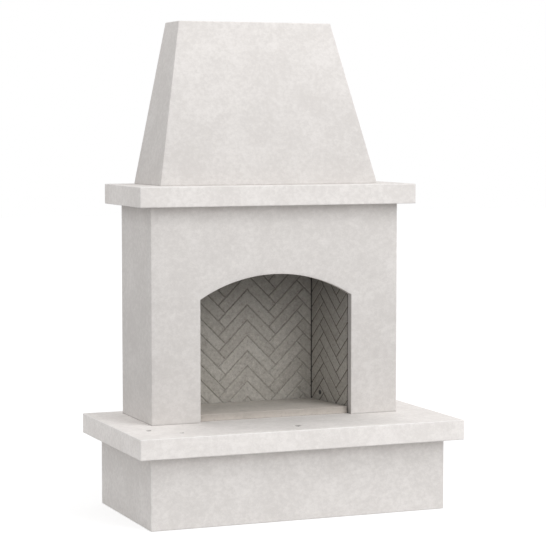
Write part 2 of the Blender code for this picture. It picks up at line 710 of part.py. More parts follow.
def make_side_panels():
    """Splayed side panels, mirror images, each standing clear of the back panel by a joint."""
    length = side_panel_length()
    height = FIREBOX_TOP - FIREBOX_BOTTOM
    chevron = BRICK_MODULE * math.sqrt(2)
    v_shift = SLAB_TOP + SIDE_PATTERN_RISE - FIREBOX_BOTTOM
    bricks = herringbone_bricks(CORNER_JOINT + PANEL_RIM, length - PANEL_RIM, PANEL_RIM, height - PANEL_RIM,
                                SIDE_PATTERN_START - chevron * 3 / 2, v_shift)
    mirrored = [[(-u, v) for u, v in reversed(brick)] for brick in bricks]
    corner = FIREBOX_REAR_WIDTH / 2
    right = relief_panel("refractory_right", CORNER_JOINT, length, height, bricks,
                         (corner, BACK_PANEL_FACE, FIREBOX_BOTTOM), SPLAY_ANGLE - math.pi / 2)
    left = relief_panel("refractory_left", -length, -CORNER_JOINT, height, mirrored,
                        (-corner, BACK_PANEL_FACE, FIREBOX_BOTTOM), math.pi / 2 - SPLAY_ANGLE)
    return left, right


def make_floor_panel():
    """Firebox floor, a plain refractory slab whose front edge shows under the arch."""
    front = BODY_INNER_FRONT + FIT_GAP
    rear = BACK_PANEL_FACE - FLOOR_REAR_GAP
    rear_x = side_x(rear, 0) - FLOOR_REAR_GAP
    plan = [(-FLOOR_FRONT_WIDTH / 2, front), (FLOOR_FRONT_WIDTH / 2, front), (rear_x, rear), (-rear_x, rear)]
    return prism("refractory_floor", plan, FIREBOX_BOTTOM, FIREBOX_BOTTOM + FLOOR_THICKNESS,
                 refractory("refractory_floor"), (0, front, FIREBOX_BOTTOM))


# Steel shell of the firebox


def shell_plan(offset):
    """Plan of the firebox shell: splayed sides `offset` out from the panel faces."""
    front_x = side_x(SHELL_FRONT, offset)
    rear_x = side_x(BACK_SHEET_REAR, offset)
    return [(-front_x, SHELL_FRONT), (front_x, SHELL_FRONT), (rear_x, BACK_SHEET_REAR),
            (-rear_x, BACK_SHEET_REAR)]


def make_firebox_shell():
    """Floor pan, back sheet, side sheets, and the flanges and lintel plate behind the opening."""
    black = painted_steel("firebox")
    outside = PANEL_THICKNESS + FIT_GAP + SHEET
    plan = shell_plan(outside)
    prism("firebox_floor_pan", plan, PAN_BOTTOM, PAN_TOP, black, (0, SHELL_FRONT, PAN_BOTTOM))
    back_x = side_x(BACK_SHEET_REAR, outside)
    box("firebox_back_sheet", (-back_x, BACK_SHEET_FRONT, FIREBOX_BOTTOM),
        (back_x, BACK_SHEET_REAR, FIREBOX_TOP), black)
    rear = BACK_SHEET_FRONT - FIT_GAP
    inner = PANEL_THICKNESS + FIT_GAP
    right_plan = [(side_x(SHELL_FRONT, inner), SHELL_FRONT), (side_x(SHELL_FRONT, outside), SHELL_FRONT),
                  (side_x(rear, outside), rear), (side_x(rear, inner), rear)]
    left_plan = [(-x, y) for x, y in reversed(right_plan)]
    prism("firebox_left_sheet", left_plan, FIREBOX_BOTTOM, FIREBOX_TOP, black,
          (-side_x(rear, inner), rear, FIREBOX_BOTTOM))
    right_sheet = prism("firebox_right_sheet", right_plan, FIREBOX_BOTTOM, FIREBOX_TOP, black,
                        (side_x(rear, inner), rear, FIREBOX_BOTTOM))
    make_top_plate(plan, black)
    flange_x = OPENING_WIDTH / 2 + FLANGE_REVEAL
    for side, sign in (("left", -1), ("right", 1)):
        edges = sorted((sign * flange_x, sign * (flange_x + FLANGE_WIDTH)))
        box("face_flange_" + side, (edges[0], FLANGE_FRONT, PAN_BOTTOM),
            (edges[1], FLANGE_BACK, TOP_PLATE_TOP),
            black)
    lintel_x = flange_x - FIT_GAP
    lintel_low = SLAB_TOP + OPENING_APEX_HEIGHT + LINTEL_CLEARANCE
    box("lintel_plate", (-lintel_x, FLANGE_FRONT, lintel_low), (lintel_x, FLANGE_BACK, TOP_PLATE_TOP), black)
    return right_sheet


def make_top_plate(plan, finish):
    """Plate that closes the firebox round the foot of the smoke dome."""
    hole_x = DOME_BOTTOM_WIDTH / 2 - DOME_SHEET * 2
    hole = outline(-hole_x, hole_x, DOME_FRONT + DOME_SHEET * 2,
                   DOME_FRONT + DOME_BOTTOM_DEPTH - DOME_SHEET * 2)
    rings = [level(plan, TOP_PLATE_BOTTOM), level(plan, TOP_PLATE_TOP),
             level(hole, TOP_PLATE_TOP), level(hole, TOP_PLATE_BOTTOM)]
    return ring_solid("firebox_top_plate", rings, finish, closed=True,
                      origin=(0, SHELL_FRONT, TOP_PLATE_BOTTOM))


def make_gas_inlet(panel, sheet):
    """Sleeve that brings a gas pipe through the right-hand panel and sheet, and its locknut."""
    depths = (0, PANEL_THICKNESS + FIT_GAP + SHEET + GAS_SLEEVE_TAIL)
    outer = GAS_HOLE_RADIUS - FIT_GAP
    bore = outer - GAS_SLEEVE_WALL
    corner = Vector((FIREBOX_REAR_WIDTH / 2, BACK_PANEL_FACE, SLAB_TOP + GAS_HOLE_RISE))
    turn = Matrix.Rotation(SPLAY_ANGLE - math.pi / 2, 4, "Z")
    lay_outwards = Matrix.Rotation(-math.pi / 2, 4, "X")
    place = Matrix.Translation(corner) @ turn @ Matrix.Translation((GAS_HOLE_SETBACK, 0, 0)) @ lay_outwards
    rings = [level(circle(outer, GAS_SIDES), depths[0]), level(circle(outer, GAS_SIDES), depths[1]),
             level(circle(bore, GAS_SIDES), depths[1]), level(circle(bore, GAS_SIDES), depths[0])]
    sleeve = ring_solid("gas_sleeve", rings, galvanised_steel("gas_sleeve"), closed=True)
    sleeve.matrix_world = place
    nut_low = PANEL_THICKNESS + FIT_GAP + SHEET + FIT_GAP
    nut_high = nut_low + GAS_NUT_HEIGHT
    rim = hexagon(GAS_NUT_FLATS, GAS_SIDES)
    eye = circle(outer + FIT_GAP, GAS_SIDES)
    rings = [level(rim, nut_low), level(rim, nut_high), level(eye, nut_high), level(eye, nut_low)]
    nut = ring_solid("gas_sleeve_locknut", rings, brass("gas_sleeve_locknut"), closed=True)
    nut.matrix_world = place
    start = place @ Vector((0, 0, -CUT_OVERRUN))
    end = place @ Vector((0, 0, depths[1]))
    drill(panel, "gas_hole_panel_cutter", start, end, GAS_HOLE_RADIUS, GAS_SIDES)
    drill(sheet, "gas_hole_sheet_cutter", start, end, GAS_HOLE_RADIUS, GAS_SIDES)


# Smoke way


def make_smoke_dome():
    """Sheet-steel hood that gathers the smoke from the firebox into the throat."""
    half = DOME_BOTTOM_WIDTH / 2
    back = DOME_FRONT + DOME_BOTTOM_DEPTH
    top_half = FLUE_HALF_WIDTH
    top_front = THROAT_FRONT - THROAT_WALL + FLUE_RIM_LAP
    top_back = THROAT_BACK + THROAT_WALL - FLUE_RIM_LAP
    sheet = DOME_SHEET
    rings = [level(outline(-half, half, DOME_FRONT, back), DOME_BOTTOM),
             level(outline(-top_half, top_half, top_front, top_back), DOME_TOP),
             level(outline(sheet - top_half, top_half - sheet, top_front + sheet, top_back - sheet),
                   DOME_TOP),
             level(outline(sheet - half, half - sheet, DOME_FRONT + sheet, back - sheet), DOME_BOTTOM)]
    return ring_solid("smoke_dome", rings, painted_steel("smoke_dome"), closed=True,
                      origin=(0, DOME_FRONT, DOME_BOTTOM))


def make_damper_frame():
    """Throat frame with a ledge that the shut blade lies on, and a hole each side for a bush."""
    half = THROAT_WIDTH / 2
    outer = outline(-half - THROAT_WALL, half + THROAT_WALL, THROAT_FRONT - THROAT_WALL,
                    THROAT_BACK + THROAT_WALL)
    inner = outline(-half, half, THROAT_FRONT, THROAT_BACK)
    ledge = outline(DAMPER_SIDE_LEDGE - half, half - DAMPER_SIDE_LEDGE,
                    THROAT_FRONT + DAMPER_FRONT_LEDGE, THROAT_BACK - DAMPER_SIDE_LEDGE)
    rings = [level(outer, DAMPER_BOTTOM), level(outer, DAMPER_TOP), level(inner, DAMPER_TOP),
             level(inner, DAMPER_LEDGE), level(ledge, DAMPER_LEDGE), level(ledge, DAMPER_BOTTOM)]
    frame = ring_solid("damper_frame", rings, painted_steel("damper_frame"), closed=True,
                       origin=(0, SHAFT_Y, DAMPER_BOTTOM))
    reach = half + THROAT_WALL + CUT_OVERRUN
    seat = bush_bore() + BUSH_WALL + FIT_GAP
    drill(frame, "bush_hole_cutter", (-reach, SHAFT_Y, SHAFT_Z), (reach, SHAFT_Y, SHAFT_Z), seat,
          TURNED_SIDES)
    return frame


def bush_bore():
    """Corner radius of a bush's faceted bore whose flats clear the journal by its fit."""
    return (JOURNAL_RADIUS + JOURNAL_FIT) / math.cos(math.pi / TURNED_SIDES)


def make_bush(name, sign):
    """Flanged bush in one side of the throat frame."""
    bore = circle(bush_bore(), TURNED_SIDES)
    barrel = circle(bush_bore() + BUSH_WALL, TURNED_SIDES)
    flange = circle(BUSH_FLANGE_RADIUS, TURNED_SIDES)
    inside = THROAT_WIDTH / 2 + FIT_GAP
    seat = THROAT_WIDTH / 2 + THROAT_WALL + FIT_GAP
    outside = seat + BUSH_FLANGE_THICKNESS
    stations = [(bore, inside), (barrel, inside), (barrel, seat), (flange, seat), (flange, outside),
                (bore, outside)]
    rings = [along_x(shape, sign * x) for shape, x in stations]
    bush = ring_solid(name, rings, brass("damper_bush"), closed=True)
    bush.location = (0, SHAFT_Y, SHAFT_Z)
    return bush


def make_damper():
    """Blade on a square shaft with round journals, and the flat handle that swings it.

    The blade's rear corners are notched, so that its tail dips between the side ledges as it opens.
    """
    pivot = bpy.data.objects.new("damper_pivot", None)
    pivot.location = (0, SHAFT_Y, SHAFT_Z)
    bpy.context.scene.collection.objects.link(pivot)
    black = painted_steel("damper")
    square_half = THROAT_WIDTH / 2 - DAMPER_SIDE_LEDGE - SHAFT_SQUARE_CLEARANCE
    journal_end = THROAT_WIDTH / 2 + THROAT_WALL + FIT_GAP + BUSH_FLANGE_THICKNESS
    journal = circle(JOURNAL_RADIUS, TURNED_SIDES)
    bar = square(SHAFT_SIZE)
    stations = [(journal, -journal_end), (journal, -square_half), (bar, -square_half),
                (bar, square_half), (journal, square_half), (journal, journal_end)]
    shaft = ring_solid("damper_shaft", [along_x(shape, x) for shape, x in stations], black)
    low = BLADE_BOTTOM - SHAFT_Z
    high = low + BLADE_THICKNESS
    front = THROAT_FRONT + BLADE_FRONT_CLEARANCE - SHAFT_Y
    lip_back = front + BLADE_THICKNESS
    lip_high = high + BLADE_LIP_HEIGHT
    full, notched = [[(front, low), (rear, low), (rear, high), (lip_back, high), (lip_back, lip_high),
                      (front, lip_high)] for rear in (BLADE_TAIL, -BLADE_NOTCH_SETBACK)]
    blade_half = THROAT_WIDTH / 2 - BLADE_SIDE_CLEARANCE
    stations = [(notched, -blade_half), (notched, -square_half), (full, -square_half),
                (full, square_half), (notched, square_half), (notched, blade_half)]
    blade = ring_solid("damper_blade", [along_x(profile, x) for profile, x in stations], black)
    handle = make_damper_handle()
    for piece in (shaft, blade, handle):
        piece.parent = pivot


def make_damper_handle():
    """Flat bar fixed to the front of the shaft, hanging down to an eye for a hook."""
    half = HANDLE_WIDTH / 2
    steps = [math.pi * step / TURNED_SIDES for step in range(TURNED_SIDES + 1)]
    shape = [(-half * math.cos(turn), -HANDLE_REACH - half * math.sin(turn)) for turn in steps]
    shape += [(half, SHAFT_SIZE / 2), (-half, SHAFT_SIZE / 2)]
    rear = -SHAFT_SIZE / 2 - FIT_GAP
    front = rear - HANDLE_THICKNESS
    handle = ring_solid("damper_handle", [[(x, y, z) for x, z in shape] for y in (front, rear)],
                        painted_steel("damper_handle"))
    eye_z = SHAFT_Z - HANDLE_REACH
    drill(handle, "handle_eye_cutter", (0, SHAFT_Y + front - CUT_OVERRUN, eye_z),
          (0, SHAFT_Y + rear + CUT_OVERRUN, eye_z), HANDLE_EYE_RADIUS, TURNED_SIDES)
    return handle


def flue_corners(height, offset):
    """Front left and back right of the liner at one height: it leans back and gets shallower."""
    share = (height - FLUE_BOTTOM) / (FLUE_TOP - FLUE_BOTTOM)
    low_front = THROAT_FRONT - THROAT_WALL + FLUE_RIM_LAP
    low_back = THROAT_BACK + THROAT_WALL - FLUE_RIM_LAP
    front = low_front + (FLUE_TOP_FRONT - low_front) * share
    back = low_back + (FLUE_TOP_BACK - low_back) * share
    return (-FLUE_HALF_WIDTH - offset, front - offset), (FLUE_HALF_WIDTH + offset, back + offset)


def flue_outline(height, offset):
    """Flue liner's plan at one height, let out by `offset`."""
    (left, front), (right, back) = flue_corners(height, offset)
    return outline(left, right, front, back)


def flue_section(name, low, high, inner, outer, finish):
    """Length of sheet duct that follows the liner's taper between two offsets."""
    rings = [level(flue_outline(low, outer), low), level(flue_outline(high, outer), high),
             level(flue_outline(high, inner), high), level(flue_outline(low, inner), low)]
    return ring_solid(name, rings, finish, closed=True, origin=(0, SHAFT_Y, low))


def make_flue():
    """Lower and upper liner, the band over their joint, the flashing and the spark screen."""
    liner = stainless_steel("flue")
    flue_section("flue_lower", FLUE_BOTTOM, FLUE_JOINT, -FLUE_SHEET, 0, liner)
    flue_section("flue_upper", FLUE_JOINT + FIT_GAP, FLUE_TOP, -FLUE_SHEET, 0, liner)
    band_low = FLUE_JOINT - FLUE_BAND_HEIGHT / 2
    flue_section("flue_band", band_low, band_low + FLUE_BAND_HEIGHT, FIT_GAP, FIT_GAP + SHEET, liner)
    plates = [(hood_outline(FLASHING_BOTTOM, HOOD_RIM_WALL + FIT_GAP), FLASHING_BOTTOM),
              (hood_outline(FLASHING_TOP, HOOD_RIM_WALL + FIT_GAP), FLASHING_TOP)]
    rings = [level(plan, height) for plan, height in plates]
    for height in (FLASHING_TOP, FLASHING_BOTTOM):
        (left, front), (right, back) = flue_corners(height, FLASHING_HOLE_GAP)
        rings.append(level(outline(left, right, front, back, FLASHING_HOLE_CORNER), height))
    ring_solid("top_flashing", rings, liner, closed=True, origin=(0, FLUE_TOP_BACK, FLASHING_BOTTOM))
    make_spark_screen(liner)


def make_spark_screen(finish):
    """Slotted plate over the top of the flue that holds sparks back."""
    (left, front), (right, back) = flue_corners(FLUE_TOP, 0)
    low = FLUE_TOP + FIT_GAP
    span = right - left - SCREEN_BORDER * 2
    slots = int((span + SCREEN_BAR) / (SCREEN_SLOT + SCREEN_BAR))
    pitch = (span + SCREEN_BAR) / slots
    xs = [left]
    for number in range(slots):
        start = left + SCREEN_BORDER + number * pitch
        xs += [start, start + pitch - SCREEN_BAR]
    xs.append(right)
    ys = [front, front + SCREEN_BORDER, back - SCREEN_BORDER, back]
    points = [(x, y, z) for z in (low, low + SCREEN_THICKNESS) for x in xs for y in ys]
    rows = len(ys)
    layer = len(xs) * rows
    kept = {(i, j) for i in range(len(xs) - 1) for j in range(rows - 1) if not (j == 1 and i % 2 == 1)}
    faces = []
    for i, j in sorted(kept):
        ring = [i * rows + j, (i + 1) * rows + j, (i + 1) * rows + j + 1, i * rows + j + 1]
        faces.append(ring)
        faces.append([index + layer for index in ring])
        sides = ((i, j - 1), (i + 1, j), (i, j + 1), (i - 1, j))
        for number, neighbour in enumerate(sides):
            if neighbour not in kept:
                first, second = ring[number], ring[(number + 1) % 4]
                faces.append([first, second, second + layer, first + layer])
    origin = Vector((0, (front + back) / 2, low))
    placed = [Vector(point) - origin for point in points]
    return add_object("spark_screen", mesh_from_faces("spark_screen", placed, faces), finish, origin)


# Brackets, bolts and dowels


def angle_bracket(name, corner, foot_way, length_axis):
    """Steel angle in the corner of a wall and a floor: its foot runs along `foot_way`."""
    profile = [(0, 0), (ANGLE_LEG, 0), (ANGLE_LEG, ANGLE_THICKNESS), (ANGLE_THICKNESS, ANGLE_THICKNESS),
               (ANGLE_THICKNESS, ANGLE_LEG), (0, ANGLE_LEG)]
    rings = []
    for end in (-ANGLE_LENGTH / 2, ANGLE_LENGTH / 2):
        rings.append([Vector(foot_way) * out + Vector(length_axis) * end + Vector((0, 0, up))
                      for out, up in profile])
    bracket = ring_solid(name, rings, galvanised_steel("angle_bracket"))
    bracket.location = corner
    return bracket


def bolt(name, seat, way):
    """Hexagon bolt whose head lies on `seat` and whose shank points along `way`."""
    head = hexagon(BOLT_HEAD_FLATS)
    shank = circle(BOLT_RADIUS, BOLT_SIDES)
    stations = [(head, -BOLT_HEAD_HEIGHT), (head, 0), (shank, 0), (shank, BOLT_LENGTH)]
    rings = [level(shape, depth) for shape, depth in stations]
    made = ring_solid(name, rings, galvanised_steel("bolt"))
    made.location = seat
    made.rotation_euler = Vector(way).to_track_quat("Z", "Y").to_euler()
    return made


def bolt_down(name, seat, way, pieces):
    """Place a bolt and drill its hole through every piece it passes."""
    seat = Vector(seat)
    way = Vector(way)
    bolt(name, seat, way)
    start = seat - way * CUT_OVERRUN
    end = seat + way * (BOLT_LENGTH + BOLT_END_CLEARANCE)
    for piece in pieces:
        drill(piece, name + "_" + piece.name + "_cutter", start, end, BOLT_RADIUS + BOLT_FIT, BOLT_SIDES)


def fix_angle(name, corner, foot_way, length_axis, wall, floor):
    """Angle bracket with one bolt into the wall and one into the slab below it."""
    bracket = angle_bracket(name + "_bracket", corner, foot_way, length_axis)
    foot = Vector(foot_way)
    along = Vector(length_axis)
    reach = ANGLE_THICKNESS + FIT_GAP
    middle = (ANGLE_LEG + ANGLE_THICKNESS) / 2
    wall_seat = Vector(corner) + foot * reach + along * BOLT_SPREAD + Vector((0, 0, middle))
    floor_seat = Vector(corner) + foot * middle - along * BOLT_SPREAD + Vector((0, 0, reach))
    bolt_down(name + "_wall_bolt", wall_seat, -foot, (bracket, wall))
    bolt_down(name + "_floor_bolt", floor_seat, (0, 0, -1), (bracket, floor))


def make_fixings(slab, body, mantel, hood):
    """Angles that tie the surround to the hearth and the hood to the mantel, and two dowels."""
    angle_y = BODY_INNER_BACK - BODY_ANGLE_BACK_SETBACK
    wall_x = BODY_INNER_HALF_WIDTH - FIT_GAP
    hood_x = HOOD_BOTTOM_WIDTH / 2 - HOOD_WALL - HOOD_ANGLE_INSET
    hood_wall_y = HOOD_BACK - HOOD_WALL - FIT_GAP
    for side, sign in (("left", -1), ("right", 1)):
        fix_angle("body_" + side, (sign * wall_x, angle_y, SLAB_TOP + FIT_GAP), (-sign, 0, 0), (0, 1, 0),
                  body, slab)
        fix_angle("hood_" + side, (sign * hood_x, hood_wall_y, MANTEL_TOP + FIT_GAP), (0, -1, 0), (sign, 0, 0),
                  hood, mantel)
        make_dowel("mantel_dowel_" + side, sign * (BODY_WIDTH - BODY_SIDE_WALL) / 2, body, mantel)


def make_dowel(name, x, body, mantel):
    """Steel pin, half in the top of a side wall and half in the mantel."""
    y = BODY_BACK - DOWEL_BACK_SETBACK
    middle = BODY_TOP + FIT_GAP / 2
    rings = [level(circle(DOWEL_RADIUS, BOLT_SIDES), height)
             for height in (-DOWEL_LENGTH / 2, DOWEL_LENGTH / 2)]
    dowel = ring_solid(name, rings, galvanised_steel("dowel"))
    dowel.location = (x, y, middle)
    reach = DOWEL_LENGTH / 2 + BOLT_END_CLEARANCE
    for piece in (body, mantel):
        drill(piece, name + "_" + piece.name + "_cutter", (x, y, middle - reach), (x, y, middle + reach),
              DOWEL_RADIUS + BOLT_FIT, BOLT_SIDES)


def build_fireplace():
    """Put the whole fireplace together from the ground up."""
    clear_scene()
    make_hearth_base()
    make_frame()
    slab = make_hearth_slab()
    body = make_fireplace_body()
    mantel = make_mantel_slab()
    hood = make_chimney_hood()
    make_fixings(slab, body, mantel, hood)
    make_floor_panel()
    make_back_panel()
    _, right_panel = make_side_panels()
    right_sheet = make_firebox_shell()
    make_gas_inlet(right_panel, right_sheet)
    make_smoke_dome()
    make_damper_frame()
    make_bush("damper_bush_left", -1)
    make_bush("damper_bush_right", 1)
    make_damper()
    make_flue()


build_fireplace()
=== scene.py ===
"""Looks of a cast-concrete outdoor fireplace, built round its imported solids.

Metres, +Z up, with the fire opening facing -Y. The sections follow the fireplace from the ground
up, and then from the fire to the sky.
"""

import math

import bmesh
import bpy
import numpy as np
from mathutils import Matrix, Vector


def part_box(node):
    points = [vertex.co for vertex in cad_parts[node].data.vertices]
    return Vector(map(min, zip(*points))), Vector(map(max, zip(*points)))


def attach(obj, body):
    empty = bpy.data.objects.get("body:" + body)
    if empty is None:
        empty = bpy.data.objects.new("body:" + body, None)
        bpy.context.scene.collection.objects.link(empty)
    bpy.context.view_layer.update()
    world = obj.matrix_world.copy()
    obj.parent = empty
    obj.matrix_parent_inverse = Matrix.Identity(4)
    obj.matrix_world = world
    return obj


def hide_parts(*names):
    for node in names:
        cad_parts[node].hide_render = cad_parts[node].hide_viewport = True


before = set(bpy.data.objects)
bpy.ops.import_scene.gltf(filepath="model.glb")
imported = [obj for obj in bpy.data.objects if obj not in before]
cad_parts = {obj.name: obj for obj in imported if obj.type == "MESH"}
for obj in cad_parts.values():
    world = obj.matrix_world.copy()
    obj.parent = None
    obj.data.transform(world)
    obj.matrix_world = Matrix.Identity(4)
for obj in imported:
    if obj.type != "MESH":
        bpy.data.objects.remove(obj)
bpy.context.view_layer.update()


# The studio: a pale floor under a white sky that dims a little overhead, a soft light high in
# front, a broad one far off to the front right, and a camera at eye height, ten metres off to the
# front left.
CAMERA_PLACE = (-3.7957, -9.3939, 1.9616)
CAMERA_TURN = 0.3848
CAMERA_DIP = 0.0758
CAMERA_LENS = 132.26
CAMERA_SENSOR = 36.0
CAMERA_REACH = 200.0
SKY_LIGHT = 0.975
SKY_OVERHEAD = 0.76
WHITE = (1, 1, 1, 1)
FLOOR_HALF = 30.0
FLOOR_TONE = (0.54, 0.54, 0.54, 1)
FLOOR_LIFT = 0.61
LIT_SPOT = (0.1, 0, 1.2)


def put(name, data):
    """New object with some data, in the scene."""
    made = bpy.data.objects.new(name, data)
    bpy.context.scene.collection.objects.link(made)
    return made


def feed(node, inputs):
    """Link each input that is given as a socket, and set any other on the node's own socket."""
    for name, value in inputs.items():
        if isinstance(value, bpy.types.NodeSocket):
            node.id_data.links.new(value, node.inputs[name])
        else:
            node.inputs[name].default_value = value


def place(near, kind, inputs=None, **settings):
    """Add a node to the tree that `near` is, or is in."""
    made = near.id_data.nodes.new(kind)
    for name, value in settings.items():
        setattr(made, name, value)
    feed(made, inputs or {})
    return made


def plus(first, second, **settings):
    """Sum of a socket's value and another."""
    return place(first, "ShaderNodeMath", {0: first, 1: second}, operation="ADD", **settings).outputs[0]


def times(first, second):
    """Product of a socket's value and another."""
    return place(first, "ShaderNodeMath", {0: first, 1: second}, operation="MULTIPLY").outputs[0]


def span(value, low, high, to_low=0.0, to_high=1.0):
    """Value carried from one span to another and held at its ends."""
    inputs = {"Value": value, "From Min": low, "From Max": high, "To Min": to_low, "To Max": to_high}
    return place(value, "ShaderNodeMapRange", inputs).outputs["Result"]


def coordinate(where, axis):
    """One coordinate of a place."""
    return place(where, "ShaderNodeSeparateXYZ", {0: where}).outputs[axis]


def background_ray(tree):
    """1 for what the camera, a mirror or a pane of glass sees directly, 0 for light that bounces."""
    path = place(tree, "ShaderNodeLightPath").outputs
    seen = plus(path["Is Camera Ray"], path["Is Glossy Ray"], use_clamp=True)
    return plus(seen, path["Is Transmission Ray"], use_clamp=True)


def light_sky():
    """White to look at, and for everything else a soft light that fades evenly from the skyline to
    straight overhead."""
    sky = bpy.data.worlds.new("studio_sky")
    bpy.context.scene.world = sky
    sky.use_nodes = True
    tree = sky.node_tree
    tree.nodes.clear()
    climb = coordinate(place(tree, "ShaderNodeTexCoord").outputs["Generated"], 2)
    fade = span(climb, 0, 1, SKY_LIGHT, SKY_LIGHT * SKY_OVERHEAD)
    soft = place(tree, "ShaderNodeBackground", {"Color": WHITE, "Strength": fade}).outputs[0]
    white = place(tree, "ShaderNodeBackground", {"Color": WHITE, "Strength": 1.0}).outputs[0]
    both = place(tree, "ShaderNodeMixShader", {0: background_ray(tree), 1: soft, 2: white}).outputs[0]
    place(tree, "ShaderNodeOutputWorld", {"Surface": both})


def lay_floor():
    """Flat pale sheet that keeps the shadow and is lifted to white where nothing shades it."""
    half = FLOOR_HALF
    mesh = bpy.data.meshes.new("studio_floor")
    corners = [(-half, -half, 0), (half, -half, 0), (half, half, 0), (-half, half, 0)]
    mesh.from_pydata(corners, [], [(0, 1, 2, 3)])
    paint = bpy.data.materials.new("studio_floor_paint")
    paint.use_nodes = True
    tree = paint.node_tree
    tree.nodes.clear()
    matt = place(tree, "ShaderNodeBsdfDiffuse", {"Color": FLOOR_TONE}).outputs[0]
    lift = times(background_ray(tree), FLOOR_LIFT)
    glow = place(tree, "ShaderNodeEmission", {"Color": WHITE, "Strength": lift}).outputs[0]
    both = place(tree, "ShaderNodeAddShader", {0: matt, 1: glow}).outputs[0]
    place(tree, "ShaderNodeOutputMaterial", {"Surface": both})
    mesh.materials.append(paint)
    put("studio_floor", mesh)


def hang_light(name, spot, size, power):
    """Square soft white light at one spot, turned to the middle of the fireplace."""
    lamp = bpy.data.lights.new(name, "AREA")
    lamp.size = size
    lamp.energy = power
    hung = put(name, lamp)
    hung.location = spot
    hung.rotation_euler = (Vector(LIT_SPOT) - Vector(spot)).to_track_quat("-Z", "Y").to_euler()


def stand_camera():
    """Camera turned towards +X from straight ahead and dipped a little."""
    lens = bpy.data.cameras.new("eye")
    lens.lens = CAMERA_LENS
    lens.sensor_width = CAMERA_SENSOR
    lens.clip_end = CAMERA_REACH
    eye = put("eye", lens)
    eye.location = CAMERA_PLACE
    eye.rotation_euler = (math.pi / 2 - CAMERA_DIP, 0, -CAMERA_TURN)
    bpy.context.scene.camera = eye


light_sky()
lay_floor()
hang_light("high_softbox", spot=(3.0, -4.8, 7.8), size=3.2, power=138.0)
hang_light("right_softbox", spot=(10.3, -20.4, 11.2), size=10.4, power=1152.0)
stand_camera()
bpy.context.scene.view_settings.view_transform = "Standard"


# Hearth base: a hollow plinth of glass-fibre-reinforced concrete, sprayed 32 mm thick into a mould
# and left off-white. Its arrises are softly rounded by the mould and a little worn by handling, and
# it is painted paler near the ground, as painted light bounced from the floor.
KNOT_SPACING = 0.009
CORNER_TURNS = np.linspace(0, math.pi / 2, 6)[1:-1]
MERGE_DISTANCE = 0.00002
SHARP_TURN = 35
ARRIS = 0.004
LEAST_CORNER = 0.001
OUTSIDE = 0.01
BASE_WALL = 0.032
BASE_INNER_CORNER = 0.002
BASE_FOOT = [(0.0025, 0, 0), (0.0008, 0.0009, -0.7), (0, 0.0025, -0.2), (0, 0.006, 0)]
BASE_FOOT_TOP = 0.05
BASE_BATCH = 1.125
# Painted light: paler towards the ground, as if lit from the floor.
BASE_PAINTED_BOUNCE = ((0.32, 0.985), (0.0, 1.07))
WEAR = 0.0005
WEAR_LENGTH = 0.05
WEAR_SHARE = 0.7
WORN_MARK = 0.3
DING_DEPTH = 0.0014
DING_COUNT = 26
DING_WIDTHS = (0.006, 0.016)
DING_SHARES = (0.3, 1.0)
RIPPLE_WAVES = 12
RIPPLE_STRETCH = (0.6, 1.6)
RIPPLE_GAIN = 2.4
CONCRETE_LIGHT = (0.738, 0.71, 0.69)
CONCRETE_MID = (0.677, 0.649, 0.629)
CONCRETE_DARK = (0.644, 0.616, 0.596)
# Colour of the painted shade in the pinholes.
CONCRETE_PINHOLE_SHADE = (0.40, 0.375, 0.35)
# Colour of painted shade, and of soot.
CONCRETE_SHADE_AND_SOOT = (0.13, 0.12, 0.107)
CONCRETE_DRAG = (1.0, 1.0, 1.18)
RUBBED_SHARE = 1.07
RUBBED_MOST = 0.86


def shares(length, spacing=KNOT_SPACING):
    """Even shares from 0 to 1 that stand about one spacing apart along a length."""
    return np.linspace(0, 1, max(2, int(round(length / spacing)) + 1))


def box_and_knots(node, spacing=KNOT_SPACING):
    """Both corners of a solid's box, and the shares across its width and along its depth."""
    low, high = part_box(node)
    return low, high, (shares(high.x - low.x, spacing), shares(high.y - low.y, spacing))


def rings_of(columns, knots):
    """Level rings, anticlockwise from above, from columns of half width, front, back, corner radius
    and height: four straight sides with points at the knots, joined by quarter circles (centre +
    radius * (cos, sin) of the turn)."""
    across, along = knots
    half_width, front, back, corner, height = np.array(columns)[:, :, None]
    half, low, high = half_width - corner, front + corner, back - corner
    sides = [(2 * half * across - half, front), (half_width, low + (high - low) * along),
             (2 * half * across[::-1] - half, back), (-half_width, low + (high - low) * along[::-1])]
    points = []
    for quarter, (x, y) in enumerate([(half, low), (half, high), (-half, high), (-half, low)]):
        turns = (quarter - 1) * math.pi / 2 + CORNER_TURNS
        points += [sides[quarter], (x + corner * np.cos(turns), y + corner * np.sin(turns))]
    points = [np.stack(np.broadcast_arrays(x, y, height), axis=-1) for x, y in points]
    return np.concatenate(points, axis=1)


def ring_facing(knots):
    """Outward direction of each of a ring's points, and 0 on its sides rising to 1 half-way round
    its corners."""
    angles, corners = [], []
    for quarter, side in enumerate(knots * 2):
        start = (quarter - 1) * math.pi / 2
        angles += [np.full(side.shape, start), start + CORNER_TURNS]
        corners += [np.zeros(side.shape), np.sin(2 * CORNER_TURNS)]
    angle = np.concatenate(angles)
    return np.stack([np.cos(angle), np.sin(angle)], axis=1), np.concatenate(corners)


def rings_in(low, high, line, corner, knots):
    """A ring for each (inset, height, mark) row of a section, that far in from the box's outline."""
    inset, height, _ = line.T
    return rings_of((high.x - inset, low.y + inset, high.y - inset, corner, height), knots)


def narrowing(line, radius=ARRIS, least=LEAST_CORNER):
    """Corner radius of each of a section's rings: radius - inset, and never under a least one."""
    return np.maximum(radius - line[:, 0], least)


